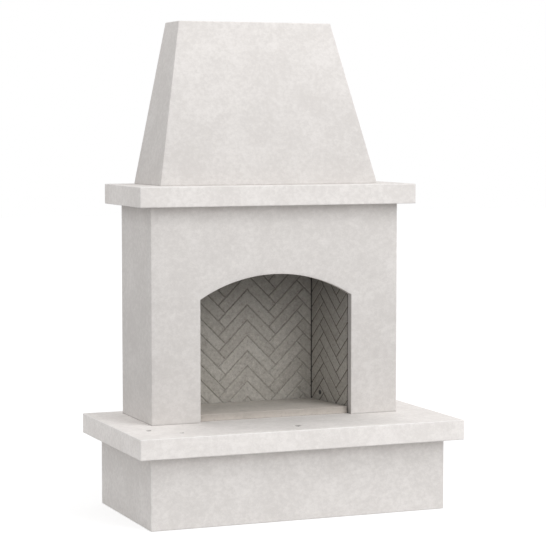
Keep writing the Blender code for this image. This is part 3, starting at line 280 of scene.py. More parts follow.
def rounded_section(corners, radii, steps=5):
    """Section line through (inset, height) corners, each turned by a quarter circle of its radius:
    centre - radius * (cos * way out + sin * way in). Gives inset, height and how far each point is
    into a rounding, positive where the arris is at the top."""
    corners = np.array(corners, float)
    line = [(*corners[0], 0)]
    for before, here, after, radius in zip(corners, corners[1:], corners[2:], radii):
        way_in, way_out = before - here, after - here
        way_in /= np.linalg.norm(way_in)
        way_out /= np.linalg.norm(way_out)
        centre = here + radius * (way_in + way_out)
        upper = -np.sign((way_in + way_out)[1])
        line.append((*(here + 1.5 * radius * way_in), 0))
        for turn in np.linspace(0, math.pi / 2, steps + 1):
            point = centre - radius * (math.cos(turn) * way_out + math.sin(turn) * way_in)
            line.append((*point, upper * math.sin(2 * turn)))
        line.append((*(here + 1.5 * radius * way_out), 0))
    return np.array(line + [(*corners[-1], 0)])


def ripple(points, size, seed):
    """Smooth irregular values from -1 to 1 over space: the mean of sine waves of about one length,
    sin(direction . point * 2 pi / size + phase), in seeded directions."""
    chance = np.random.default_rng(seed)
    ways = chance.normal(size=(RIPPLE_WAVES, 3))
    stretch = (2 * math.pi / size) * chance.uniform(*RIPPLE_STRETCH, (RIPPLE_WAVES, 1))
    ways *= stretch / np.linalg.norm(ways, axis=1, keepdims=True)
    phases = chance.uniform(0, 2 * math.pi, RIPPLE_WAVES)
    return np.clip(np.sin(points @ ways.T + phases).mean(axis=-1) * RIPPLE_GAIN, -1, 1)


def dings(points, count, seed):
    """Shallow knocks: bell-shaped hollows, depth * exp(-(distance / width) ** 2), round a few
    seeded points, 0 away from them."""
    chance = np.random.default_rng(seed)
    spots = points[chance.integers(0, len(points), count)]
    widths = chance.uniform(*DING_WIDTHS, count)
    depths = chance.uniform(*DING_SHARES, count)
    gap = ((points[:, None, :] - spots[None]) ** 2).sum(axis=2)
    return (depths * np.exp(-gap / widths ** 2)).max(axis=1)


def worn(rings, line, knots, seed, corner_share=1.0, share=1.0):
    """Rings with their arrises drawn inwards: each point moves against its outward direction, and
    down or up, by share * (wear * (1 + ripple) / 2 + any ding). Returns the outside's marks too.
    Upright corners wear by `corner_share`, which may differ from ring to ring."""
    facing, corner = ring_facing(knots)
    outside = line[:, :1] < OUTSIDE
    edge = line[:, 2:] * outside
    mark = np.maximum(np.abs(edge), corner * corner_share)
    flat = rings.reshape(-1, 3)
    on_arris = mark.reshape(-1) > WORN_MARK
    depth = WEAR * (1 + ripple(flat, WEAR_LENGTH, seed)) / 2
    depth[on_arris] += DING_DEPTH * dings(flat[on_arris], DING_COUNT, seed + 1)
    move = np.zeros_like(rings)
    move[:, :, :2] = -facing * mark[:, :, None]
    move[:, :, 2] = -edge
    return rings + move * depth.reshape(*mark.shape, 1) * WEAR_SHARE * share, mark * outside


def quads(grid, closed=False, ring=True):
    """Faces between neighbouring rows of a grid, low to high. The last row meets the first if the
    grid is closed, and each row closes on itself if it is a ring."""
    rows, count = grid.shape[:2]
    row = np.arange(rows if closed else rows - 1)[:, None]
    step = np.arange(count if ring else count - 1)
    above, after = (row + 1) % rows * count, (step + 1) % count
    row = row * count
    return np.stack([row + step, row + after, above + after, above + step], axis=-1)


def sheet(grid, marks=0.0):
    """Patch made of an open grid of points."""
    return grid, quads(grid, ring=False), marks


def cap(low, high, row, knots):
    """Flat grid that closes the ring of one row of a section, where its corners are square."""
    inset, height, _ = row
    half, front, back = high.x - inset, low.y + inset, high.y - inset
    x, y = np.meshgrid(half * (2 * knots[0] - 1), front + (back - front) * knots[1])
    return np.stack([x, y, np.full(x.shape, height)], axis=-1)


def mesh_of(name, points, faces, **marks):
    """Mesh from arrays, with a value at each point under each mark's name."""
    mesh = bpy.data.meshes.new(name)
    mesh.from_pydata(points.tolist(), [], faces.tolist())
    for label, values in marks.items():
        mesh.attributes.new(label, "FLOAT", "POINT").data.foreach_set("value", values.astype(np.float32))
    return mesh


def close(shape, mesh):
    """Fill a shape's holes, turn its faces outwards and write it into its mesh."""
    bmesh.ops.holes_fill(shape, edges=[edge for edge in shape.edges if edge.is_boundary], sides=0)
    bmesh.ops.recalc_face_normals(shape, faces=shape.faces)
    shape.to_mesh(mesh)
    shape.free()


def weld(mesh, distance):
    """Merge a mesh's seams and close it."""
    shape = bmesh.new()
    shape.from_mesh(mesh)
    bmesh.ops.remove_doubles(shape, verts=shape.verts, dist=distance)
    bmesh.ops.dissolve_degenerate(shape, edges=shape.edges, dist=distance)
    close(shape, mesh)


def settle(mesh, material, node, sharp=SHARP_TURN):
    """Smooth a finished mesh up to the sharp angle and put it in its node's place on the body."""
    mesh.shade_smooth()
    mesh.set_sharp_from_angle(angle=math.radians(sharp))
    mesh.materials.clear()
    mesh.materials.append(material)
    made = put(mesh.name, mesh)
    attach(made, "fireplace")
    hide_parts(node)
    return made


def join(name, patches, material, node):
    """One closed piece from patches of (points, faces, marks). Positive marks go into the attribute
    "arris", and negative ones, turned round, into the attribute for painted shade and soot."""
    points, faces, marks, start = [], [], [], 0
    for patch_points, patch_faces, patch_marks in patches:
        points.append(patch_points.reshape(-1, 3))
        faces.append(patch_faces.reshape(-1, 4) + start)
        marks.append(np.broadcast_to(patch_marks, patch_points.shape[:-1]).reshape(-1))
        start += len(points[-1])
    marks = np.concatenate(marks)
    mesh = mesh_of(name, np.concatenate(points), np.concatenate(faces),
                   arris=np.maximum(marks, 0), grime=np.maximum(-marks, 0))
    weld(mesh, MERGE_DISTANCE)
    settle(mesh, material, node)


def new_material(name):
    """Principled material, its shader, and the place that its patterns read."""
    made = bpy.data.materials.new(name)
    made.use_nodes = True
    tree = made.node_tree
    return made, tree.nodes["Principled BSDF"], place(tree, "ShaderNodeTexCoord").outputs["Object"]


def moved(where, **mapping):
    """Place shifted or stretched by a mapping's own settings."""
    return place(where, "ShaderNodeMapping", {"Vector": where, **mapping}).outputs[0]


def mark_on(where, label):
    """Value that the mesh carries at each point under a label."""
    return place(where, "ShaderNodeAttribute", attribute_name=label).outputs["Fac"]


def noise(where, scale, detail, rough):
    """Noise value at a scale per metre."""
    inputs = {"Vector": where, "Scale": scale, "Detail": detail, "Roughness": rough}
    return place(where, "ShaderNodeTexNoise", inputs).outputs["Fac"]


def cells_in(where, scale, channel=0):
    """Cells at a scale per metre: distance from the nearest one's middle, and a chance value."""
    cells = place(where, "ShaderNodeTexVoronoi", {"Vector": where, "Scale": scale}).outputs
    colour = place(where, "ShaderNodeSeparateColor", {0: cells["Color"]}).outputs
    return cells["Distance"], colour[channel]


def blend(factor, first, second):
    """Colour between two, by a factor."""
    first, second = ((*tint, 1) if isinstance(tint, tuple) else tint for tint in (first, second))
    inputs = {"Factor": factor, 6: first, 7: second}
    return place(factor, "ShaderNodeMix", inputs, data_type="RGBA").outputs[2]


def shaded(colour, share):
    """Colour times a value."""
    grey = place(share, "ShaderNodeCombineColor", {0: share, 1: share, 2: share}).outputs[0]
    inputs = {"Factor": 1.0, 6: colour, 7: grey}
    return place(colour, "ShaderNodeMix", inputs, data_type="RGBA", blend_type="MULTIPLY").outputs[2]


def scaled(colour, share):
    """A written colour times a number."""
    return tuple(channel * share for channel in colour)


def coat(shader, colour, rough, *layers, metallic=0.0, gloss=0.5):
    """Give a shader its colour and shine, and a relief of (height, real depth in metres) layers,
    each on top of the one before."""
    below = {}
    for height, depth in layers:
        inputs = {"Height": height, "Distance": depth, "Strength": 1.0, **below}
        below = {"Normal": place(height, "ShaderNodeBump", inputs).outputs["Normal"]}
    feed(shader, {"Base Color": colour, "Roughness": rough, "Metallic": metallic,
                  "Specular IOR Level": gloss, **below})


def cast_concrete(name, shift, batch, *painted_light):
    """Off-white concrete from a mould: slow cloudy drift, hand-sized mottling, a sandy skin with
    pinholes darkened by painted shade, and slightly paler rubbed arrises. `batch` is how pale this
    casting came out. Each pair of (height, share) after it paints light and shade into the colour: the
    paleness changes evenly from one height to the other. The mesh's dark mark adds painted shade, and
    soot where the fire reached."""
    made, shader, place_of = new_material(name)
    where = moved(place_of, Location=shift, Scale=CONCRETE_DRAG)
    cloud = noise(where, 5.0, 5.0, 0.62)
    mottle = noise(where, 42.0, 5.0, 0.68)
    sand = noise(where, 480.0, 2.0, 0.7)
    tone = plus(times(cloud, 0.42), times(mottle, 0.58))
    light, mid, dark = (scaled(tint, batch) for tint in (CONCRETE_LIGHT, CONCRETE_MID, CONCRETE_DARK))
    colour = blend(span(tone, 0.38, 0.50), dark, mid)
    colour = blend(span(tone, 0.48, 0.62), colour, light)
    colour = shaded(colour, span(sand, 0.3, 0.7, 0.95, 1.04))
    distance, chance = cells_in(where, 85.0)
    # Pinholes, darkened with painted shade.
    hole = times(span(distance, 0.055, 0.11, 1.0, 0.0), span(chance, 0.80, 0.83))
    colour = blend(times(hole, 0.5), colour, CONCRETE_PINHOLE_SHADE)
    rub = times(mark_on(where, "arris"), span(mottle, 0.35, 0.65, 0.1, 0.6))
    rubbed = tuple(min(channel, RUBBED_MOST) for channel in scaled(light, RUBBED_SHARE))
    colour = blend(rub, colour, rubbed)
    # Painted light and shade: the paleness changes with height.
    height = coordinate(place_of, 2)
    for (start, start_share), (end, end_share) in painted_light:
        colour = shaded(colour, span(height, start, end, start_share, end_share))
    # Painted shade, partly over soot, where the mesh's dark mark lies.
    colour = blend(mark_on(where, "grime"), colour, CONCRETE_SHADE_AND_SOOT)
    coat(shader, colour, span(mottle, 0.3, 0.7, 0.80, 0.94), (cloud, 0.0018), (mottle, 0.0006),
         (sand, 0.00028), (span(hole, 0, 1, 1, 0), 0.0007), gloss=0.32)
    return made


def cast(name, node, patches, shift, batch, *painted_light):
    """Join a casting and give it concrete of its own batch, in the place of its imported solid."""
    concrete = cast_concrete(f"{name}_concrete", shift, batch, *painted_light)
    join(f"{name}_casting", patches, concrete, node)


def make_hearth_base():
    """The wall's section, from the outer foot over the top and down inside, carried round."""
    low, high, knots = box_and_knots("hearth_base")
    corners = [(0, BASE_FOOT_TOP), (0, high.z), (BASE_WALL, high.z), (BASE_WALL, 0)]
    line = np.vstack([BASE_FOOT, rounded_section(corners, (ARRIS, BASE_INNER_CORNER))])
    rings = rings_in(low, high, line, narrowing(line, least=BASE_INNER_CORNER), knots)
    rings, marks = worn(rings, line, knots, seed=11)
    cast("hearth_base", "hearth_base", [(rings, quads(rings, closed=True), marks)],
         (0.0, 0.0, 0.0), BASE_BATCH, BASE_PAINTED_BOUNCE)


make_hearth_base()


# Hearth slab: one overhanging slab of the same concrete, hollow below. Three air pits the size of a
# fingertip were left in its top, two on the left and one in the middle, where the mix didn't fill
# against the mould, and they are darkened with painted shade. In front of the fire opening it is
# greyed by soot and by painted shade.
SLAB_SKIN = 0.038
SLAB_SEAT = 0.1224
SLAB_SPACING = 0.011
SLAB_BATCH = 1.275
TOP_INSET = 0.03
HOLLOW_CORNER = 0.003
PITS = ((-0.726, -0.205, 0.0125, 0.0075), (-0.597, -0.329, 0.0095, 0.0060),
        (0.007, -0.329, 0.0165, 0.0100))
PIT_STRETCH = 1.3
PIT_WAVES = ((3, 1, 0.12), (5, 2, 0.07))
PIT_REACH = 0.026
PIT_SPACING = 0.0017
# Painted shade in the pits, full at this depth.
PIT_DARK = 0.005
# Soot with painted shade before the fire opening, where the dark opening sends back less light.
SOOT_SHADE_CENTRE = 0.01
SOOT_SHADE_HALF = 0.66
SOOT_SHADE_FADE = 0.32
SOOT_SHADE_DARK = 0.18
SOOT_SHADE_THINNING = 0.35
SOOT_SHADE_DEPTH = 0.18


def knots_round(places, length):
    """Shares along a centred length, with a fine band on each side of some places."""
    coarse = shares(length, SLAB_SPACING) * length - length / 2
    bands = [np.arange(spot - PIT_REACH, spot + PIT_REACH + PIT_SPACING / 2, PIT_SPACING)
             for spot in places]
    far = np.all([np.abs(coarse - spot) > PIT_REACH + SLAB_SPACING / 3 for spot in places], axis=0)
    return (np.sort(np.concatenate([coarse[far]] + bands)) + length / 2) / length


def pitted(grid, face):
    """Grid lowered by each pit: depth * (1 - distance ratio ** 4) inside its wavy rim, where the
    rim's radius swells and shrinks with the bearing. The marks are the darker of two: painted shade in
    the pits, as deep as each point lies, and in front of the opening soot with painted shade where the
    dark opening sends back less light, which thins from the surround's face outwards and by a smooth
    step towards both sides."""
    x, y = grid[:, :, 0], grid[:, :, 1]
    hollow = np.zeros_like(x)
    for number, (spot_x, spot_y, radius, depth) in enumerate(PITS):
        bearing = np.arctan2(y - spot_y, x - spot_x)
        swell = sum(size * np.sin(waves * bearing + lag * number) for waves, lag, size in PIT_WAVES)
        ratio = np.hypot(x - spot_x, (y - spot_y) / PIT_STRETCH) / (radius * (1 + swell))
        hollow = np.maximum(hollow, depth * np.clip(1 - ratio ** 4, 0, 1))
    grid[:, :, 2] -= hollow
    side = np.clip((SOOT_SHADE_HALF - np.abs(x - SOOT_SHADE_CENTRE)) / SOOT_SHADE_FADE, 0, 1)
    outward = np.clip((face - y) / (face - y.min()), 0, 1)
    soot_shade = SOOT_SHADE_DARK * side * side * (3 - 2 * side) * (1 - SOOT_SHADE_THINNING * outward)
    return grid, -np.maximum(np.clip(hollow / PIT_DARK, 0, 1), soot_shade * (y < face + SOOT_SHADE_DEPTH))


def slab_outside(low, high, start, radii=(ARRIS, ARRIS), steps=5):
    """Section of a slab, from an inset underneath, round its edge and a little way onto its top."""
    corners = [(start, low.z), (0, low.z), (0, high.z), (TOP_INSET, high.z)]
    return rounded_section(corners, radii, steps)


def make_hearth_slab():
    """Section from the hollow's edge, round the outside and onto the top, closed by two grids."""
    low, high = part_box("hearth_slab")
    knots = (knots_round([pit[0] for pit in PITS], high.x - low.x),
             knots_round(sorted({pit[1] for pit in PITS}), high.y - low.y))
    ceiling = high.z - SLAB_SKIN
    line = np.vstack([[(SLAB_SEAT + HOLLOW_CORNER, ceiling, 0), (SLAB_SEAT, ceiling, 0)],
                      slab_outside(low, high, SLAB_SEAT)])
    corners = narrowing(line, least=0.0)
    corners[1] = HOLLOW_CORNER
    rings = rings_in(low, high, line, corners, knots)
    rings, marks = worn(rings, line, knots, 21, corners[:, None] > 0)
    top, top_marks = pitted(cap(low, high, line[-1], knots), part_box("fireplace_body")[0].y)
    patches = [(rings, quads(rings), marks), sheet(top, top_marks),
               sheet(cap(low, high, line[0], knots))]
    cast("hearth_slab", "hearth_slab", patches, (3.1, 1.7, 0.4), SLAB_BATCH)


make_hearth_slab()


# Firebox surround: four walls cast in one piece round a plug that left the fire opening, two jambs
# under a shallow arch. Smoke has greyed the jambs and arch, and their inner faces carry painted
# shade over the soot, with a painted shadow at the jambs' feet. The walls are painted darker towards
# their foot and paler towards the top as painted shade and light, a painted shadow lies the hand's
# breadth below the mantel, and painted shade lies in the joint with the slab.
BODY_WALLS = {"front": 0.044, "side": 0.032, "back": 0.025}
BODY_SPACING = 0.03
BODY_LEAD = 0.01
BODY_CORNER_WEAR = 0.9
PANEL_SPREAD = (0, 0.04, 0.3, 0.65, 1.0)
OPENING_HALF = 0.41
OPENING_SPRING = 0.616
OPENING_APEX = 0.733
OPENING_ARRIS = 0.003
OPENING_TURNS = np.linspace(0, math.pi / 2, 5)
JAMB_LEAD = 0.012
JAMB_WEAR_LENGTH = 0.06
JAMB_WEAR_SHARE = 0.8
JAMB_CLEAN = 0.06
# Painted shade on the jambs' and arch's inner faces, over real soot, and a painted shadow at the jambs'
# feet.
JAMB_SHADE_AND_SOOT = 0.28
FOOT_SHADOW = 0.60
FOOT_SHADOW_HEIGHT = 0.045
FOOT_SHADOW_FRONT = 0.4
# Painted shadow below the mantel, and painted shade low on the walls with painted light high up.
MANTEL_SHADOW_DROP = 0.10
MANTEL_SHADOW_SHARE = 0.88
LOW_PAINTED_SHADE = (0.62, 0.955)
HIGH_PAINTED_LIGHT = (1.29, 1.05)
# Painted shade in the joint with the slab, along the surround's foot.
SEAM_DARK = 0.45
SEAM_HEIGHT = 0.006
SEAM_KNOTS = (0.003, 0.006, 0.0105)


def up_and_over(half, heights, x, z, y):
    """Points at one depth y: up the left at half a width, through (x, z), and down the right."""
    left = np.full(len(heights) - 1, -half)
    x = np.concatenate([left, x, -left])
    return np.stack([x, np.full(len(x), y), np.concatenate([heights[:-1], z, heights[-2::-1]])], axis=1)


def opening_line(rise, across, foot, slab_top, grow, y):
    """Outline of the fire opening, let out by `grow`, at one depth. The arch is the circle through
    the spring points and the apex."""
    arch = OPENING_APEX - OPENING_SPRING
    radius = (OPENING_HALF ** 2 + arch ** 2) / (2 * arch)
    centre = slab_top + OPENING_APEX - radius
    half, reach = OPENING_HALF + grow, radius + grow
    sweep = math.asin(half / reach)
    spring = centre + reach * math.cos(sweep)
    turns = sweep * (2 * across - 1)
    return up_and_over(half, foot + (spring - foot) * rise, reach * np.sin(turns),
                       centre + reach * np.cos(turns), y)


def painted_seam_shade(points, foot):
    """Painted shade in the joint along a casting's foot: dark * (1 - height above the foot / seam's
    height).
    """
    return SEAM_DARK * np.clip(1 - (points[..., 2] - foot) / SEAM_HEIGHT, 0, 1)


def make_surround():
    """Walls' section carried round without its front panels, which are grids stretched from the
    opening's outline to the wall's edge, and the jamb's section carried round the opening."""
    low, high, knots = box_and_knots("fireplace_body")
    across = knots[0]
    slab_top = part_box("hearth_slab")[1].z
    tall = high.z - low.z
    rise = np.sort(np.append(shares(tall, BODY_SPACING), np.array(SEAM_KNOTS) / tall))
    wall = BODY_WALLS["side"]
    corners = [(0, high.z - BODY_LEAD), (0, high.z), (wall, high.z), (wall, high.z - BODY_LEAD)]
    top = rounded_section(corners, (ARRIS, ARRIS))[2:-2]
    start = top[0, 1]
    climb = low.z + (start - low.z) * rise[:-1]
    line = np.vstack([[(0, height, 0) for height in climb], top,
                      [(wall, height, 0) for height in climb[::-1]]])
    inset, height, _ = line.T
    inner = inset > OUTSIDE
    front, back = (inset + inner * (BODY_WALLS[way] - wall) for way in ("front", "back"))
    corner = np.where(inner, ARRIS, narrowing(line))
    rings = rings_of((high.x - inset, low.y + front, high.y - back, corner, height), knots)
    rings, marks = worn(rings, line, knots, 31, BODY_CORNER_WEAR)
    row, flat = np.arange(len(line))[:, None], len(climb)
    panel = (row < flat) | (row >= len(line) - flat - 1)
    panel = panel & (np.arange(rings.shape[1]) < len(across) - 1)
    joint_darkening = painted_seam_shade(rings, low.z) * ~inner[:, None]
    patches = [(rings, quads(rings, closed=True)[~panel], np.where(joint_darkening > 0, -joint_darkening, marks))]

    def opening(grow, y):
        """The fire opening's outline, let out by `grow`, at one depth."""
        return opening_line(rise, across, low.z, slab_top, grow, y)

    heights = np.append(climb, start)
    inner_front = low.y + BODY_WALLS["front"]
    grow = OPENING_ARRIS
    for y, edge in ((low.y, high.x - ARRIS), (inner_front, high.x - wall - ARRIS)):
        hole = opening(grow, y)
        rim = up_and_over(edge, heights, edge * (2 * across - 1), np.full(across.shape, start), y)
        grid = hole + np.array(PANEL_SPREAD)[:, None, None] * (rim - hole)
        patches.append(sheet(grid, -painted_seam_shade(grid, low.z)))

    section = [(grow * (1 - math.sin(turn)), low.y + grow * (1 - math.cos(turn)), math.sin(2 * turn))
               for turn in OPENING_TURNS]
    section += [(0, low.y + JAMB_LEAD, 0), (0, inner_front - JAMB_LEAD, 0)]
    section += [(grow * (1 - math.cos(turn)), inner_front - grow * (1 - math.sin(turn)), 0)
                for turn in OPENING_TURNS]
    jamb = np.stack([opening(out, y) for out, y, _ in section])
    mark = np.array(section)[:, 2:] * np.ones(jamb.shape[1])
    depth = WEAR * (1 + ripple(jamb.reshape(-1, 3), JAMB_WEAR_LENGTH, 37)).reshape(mark.shape) / 2
    jamb[:, :, 1] += JAMB_WEAR_SHARE * depth * mark
    inward = (jamb[:, :, 1] - low.y) / (inner_front - low.y)
    # Painted shadow at the jambs' feet, added to the painted shade and soot of the inner faces.
    foot = np.clip(1 - (jamb[:, :, 2] - slab_top) / FOOT_SHADOW_HEIGHT, 0, 1)
    foot *= FOOT_SHADOW_FRONT + (1 - FOOT_SHADOW_FRONT) * inward
    jamb_shade_and_soot = (JAMB_SHADE_AND_SOOT + FOOT_SHADOW * foot) * (inward > JAMB_CLEAN)
    patches.append(sheet(jamb, np.where(jamb_shade_and_soot > 0, -jamb_shade_and_soot, mark)))
    # Painted light and shade by height, and the painted shadow below the mantel.
    cast("surround", "fireplace_body", patches, (7.4, 2.9, 5.2), 1.0, (LOW_PAINTED_SHADE, HIGH_PAINTED_LIGHT),
         ((high.z - MANTEL_SHADOW_DROP, 1.0), (high.z, MANTEL_SHADOW_SHARE)))


make_surround()


# Mantel slab: a second hollow slab that overhangs the surround, with the hole for the flue. It was
# cast face down like the hearth slab, so its outside is as smooth as the walls.
MANTEL_SKIN = 0.038
MANTEL_SEAT = 0.012
MANTEL_BATCH = 1.19
FLUE_ROOM = {"side": 0.03, "front": 0.0003, "back": 0.026}
FLUE_HOLE_ARRIS = 0.002


def make_mantel():
    """Section round the outside, in over the top to the flue hole, and out again underneath."""
    low, high, knots = box_and_knots("mantel_slab")
    body_low, body_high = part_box("fireplace_body")
    liner_low, liner_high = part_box("flue_lower")
    line = slab_outside(low, high, TOP_INSET)
    skin = high.z - MANTEL_SKIN
    side, front, back = (liner_high.x + FLUE_ROOM["side"], liner_low.y - FLUE_ROOM["front"],
                         liner_high.y + FLUE_ROOM["back"])
    inner = [(side + grow, front - grow, back + grow, HOLLOW_CORNER, height) for grow, height in (
        (FLUE_HOLE_ARRIS, high.z), (0, high.z - FLUE_HOLE_ARRIS), (0, skin))]
    side, front, back = (body_high.x - BODY_WALLS["side"] - MANTEL_SEAT,
                         body_low.y + BODY_WALLS["front"] + MANTEL_SEAT,
                         body_high.y - BODY_WALLS["back"] - MANTEL_SEAT)
    inner += [(side, front, back, HOLLOW_CORNER, height) for height in (skin, low.z)]
    rings = np.concatenate([rings_in(low, high, line, narrowing(line), knots),
                            rings_of(np.transpose(inner), knots)])
    line = np.vstack([line, [(side, 0, 0)] * len(inner)])
    rings, marks = worn(rings, line, knots, 41, BODY_CORNER_WEAR)
    cast("mantel", "mantel_slab", [(rings, quads(rings, closed=True), marks)],
         (1.2, 6.3, 9.1), MANTEL_BATCH)


make_mantel()


# Chimney hood: a thin tapering shell, upright at the back, that hides the flue. Its top edge has a
# rebate inside, which the flashing lies in. It is painted paler towards the top and darker towards
# its foot, as painted light and shade.
HOOD_WALL = 0.03
HOOD_RIM = 0.016
HOOD_REBATE = 0.036
HOOD_TOP_WIDTH = 0.833
HOOD_TOP_DEPTH = 0.209
HOOD_FOOT_ARRIS = 0.0025
HOOD_LEAD = 0.03
HOOD_CLIMB = 0.05
HOOD_RINGS = {"outside": 24, "inside": 14}
# Painted light: the hood's paleness from its foot to its top.
HOOD_PAINTED_LIGHT = (0.97, 1.13)


def make_hood():
    """Section up the outside, over the rim, down the rebate and the inside, each ring drawn in
    evenly from the foot's width and depth to the top's."""
    low, high, knots = box_and_knots("chimney_hood")
    ledge = high.z - HOOD_REBATE
    foot = rounded_section([(OUTSIDE, low.z), (0, low.z), (0, low.z + HOOD_LEAD)],
                           (HOOD_FOOT_ARRIS,))[1:]
    rim = rounded_section([(0, high.z - HOOD_LEAD), (0, high.z), (HOOD_RIM, high.z), (HOOD_RIM, ledge)],
                          (ARRIS, HOLLOW_CORNER))
    climb = np.linspace(low.z + HOOD_CLIMB, high.z - HOOD_CLIMB, HOOD_RINGS["outside"])
    drop = np.linspace(ledge, low.z, HOOD_RINGS["inside"])
    line = np.vstack([foot, [(0, height, 0) for height in climb],
                      rim, [(HOOD_WALL, height, 0) for height in drop]])
    inset, height, _ = line.T
    share = (height - low.z) / (high.z - low.z)
    half = high.x + (HOOD_TOP_WIDTH / 2 - high.x) * share - inset
    depth = (high.y - low.y) + (HOOD_TOP_DEPTH - high.y + low.y) * share
    corner = np.where(inset > OUTSIDE, ARRIS, narrowing(line))
    rings = rings_of((half, high.y - depth + inset, high.y - inset, corner, height), knots)
    rings, marks = worn(rings, line, knots, 51, BODY_CORNER_WEAR)
    cast("hood", "chimney_hood", [(rings, quads(rings, closed=True), marks)],
         (9.7, 4.4, 2.6), 1.0, tuple(zip((low.z, high.z), HOOD_PAINTED_LIGHT)))


make_hood()


# Refractory panels: a back and two splayed sides, each moulded in one piece of grey refractory
# concrete with herringbone brickwork in relief, soft-edged bricks between joints 4 mm deep.
BRICK = 0.05715
JOINT_START = 0.0017
JOINT_SLOPE = 0.0034
JOINT_DEPTH = 0.004
JOINT_WANDER = 0.0004
BRICK_UNEVEN = 0.0004
WANDER_LENGTH, UNEVEN_LENGTH = 0.02, 0.035
BRICK_TILT = 0.0009
BRICK_PROUD = 0.0007
BRICK_SINK = 0.0009
PANEL_THICKNESS = 0.025
PANEL_MARGIN = 0.03
PANEL_SHARP = 60
PANEL_RUN = 0.3492
REAR_HALF = 0.363
FRONT_HALF = 0.415
SPLAY = math.atan((FRONT_HALF - REAR_HALF) / PANEL_RUN)
CORNER_GAP = 0.006
# Painted shadow in the corner gap where the back and side panels meet.
CORNER_SHADOW_REACH = 0.003
CORNER_SHADOW_EDGE = 0.0012
CELL_KNOTS = np.array([0, 0.0018, 0.0027, 0.0036, 0.0048, 0.0068, 0.0115, 0.0190, 0.0286])
BACK_SHIFT = (-2 * math.sqrt(2) * BRICK, 0.0584)
SIDE_SHIFT = (0.084 - 1.5 * math.sqrt(2) * BRICK, 0.0737)
BACK_BATCH, BACK_DIRT = 1.2, (0.20, 0.52)
SIDE_BATCH, SIDE_DIRT = 1.08, (0.85, 0.85)
BRICK_DARK, BRICK_LIGHT = (0.335, 0.314, 0.284), (0.425, 0.406, 0.372)
BRICK_PALE_SPOT, BRICK_DARK_SPOT = (0.52, 0.497, 0.455), (0.225, 0.206, 0.182)
GROG = (0.17, 0.155, 0.135)
JOINT_DIRT = (0.10, 0.088, 0.075)
SMOKE = (0.15, 0.14, 0.132)
# Colour of the painted corner shadow.
CORNER_SHADOW = (0.035, 0.032, 0.029)
REFRACTORY_GLOSS = 0.25


def herringbone(a, b):
    """Which brick lies at (a, b), axes at 45 degrees to the panel, and how far in from its edges.

    Of the eight squares in a row, four make a brick that lies along a; the next four each belong
    to a brick that stands along b. Gives depth in from the nearest edge, place along and across
    the brick from -1/2 to 1/2, and two numbers that name the brick."""
    column, row = np.floor(a / BRICK), np.floor(b / BRICK)
    part_a, part_b = a / BRICK - column, b / BRICK - row
    turn = np.mod(column - row, 8)
    lying = turn < 4
    along = np.where(lying, turn + part_a, 7 - turn + part_b)
    side = np.where(lying, part_b, part_a)
    inside = np.minimum(np.minimum(along, 4 - along), np.minimum(side, 1 - side)) * BRICK
    first = np.where(lying, row, column)
    second = np.floor((column - row) / 8) + np.where(lying, 0, 0.5)
    return inside, along / 4 - 0.5, side - 0.5, first, second


def brick_chance(first, second, seed):
    """A steady value from 0 to 1 for each brick: the fraction left by a large sine."""
    return np.mod(np.abs(np.sin(first * 12.9898 + second * 78.233 + seed) * 43758.5453), 1)


def panel_sheet(width, low, height, shift, slab_rise):
    """Grid along the pattern's own axes over a panel from `low` to `width` and 0 to `height`, with
    points close together over each joint. The relief falls by depth * smooth step from the brick's
    soft edge to the joint's floor, and each brick is a little tilted and uneven."""
    cell = np.concatenate([CELL_KNOTS[:-1], BRICK - CELL_KNOTS[:0:-1]])
    rise = shift[1] - slab_rise
    reach = [((u - shift[0]) + sign * (v - rise)) / math.sqrt(2)
             for u in (low, width) for v in (0, height) for sign in (1, -1)]
    count = int(max(abs(value) for value in reach) / BRICK) + 2
    knots = (np.arange(-count, count)[:, None] * BRICK + cell).reshape(-1)
    a, b = np.meshgrid(knots, knots)
    u = (a - b) / math.sqrt(2) + shift[0]
    v = (a + b) / math.sqrt(2) + rise
    inside, along, side, *brick = herringbone(a + 1e-9, b + 1e-9)
    tilt_along, tilt_side, lift, tone = (brick_chance(*brick, seed) for seed in (1.0, 2.0, 3.0, 4.0))
    flat = np.stack([u, v, np.zeros_like(u)], axis=-1)
    wander = ripple(flat, WANDER_LENGTH, 61) * JOINT_WANDER
    edge = np.clip((inside + wander - JOINT_START) / JOINT_SLOPE, 0, 1)
    face = edge * edge * (3 - 2 * edge)
    tilt = along * (tilt_along - 0.5) + side * (tilt_side - 0.5)
    uneven = BRICK_UNEVEN * ripple(flat, UNEVEN_LENGTH, 63) + BRICK_TILT * tilt
    proud = (lift - 0.5) * BRICK_PROUD
    depth = np.minimum((uneven + proud - BRICK_SINK) * face - JOINT_DEPTH * (1 - face), 0)
    near = (u > low - PANEL_MARGIN) & (u < width + PANEL_MARGIN)
    near &= (v > -PANEL_MARGIN) & (v < height + PANEL_MARGIN)
    faces = quads(u, ring=False).reshape(-1, 4)
    faces = faces[near.reshape(-1)[faces].all(axis=1)]
    points = np.stack([u, -depth, v], axis=-1).reshape(-1, 3)
    return points, faces, (1 - face).reshape(-1), tone.reshape(-1)


def parts_of(shape):
    """All vertices, edges and faces of a shape."""
    return shape.verts[:] + shape.edges[:] + shape.faces[:]


def corners_of(parts):
    """The vertices among some parts of a shape."""
    return [part for part in parts if isinstance(part, bmesh.types.BMVert)]


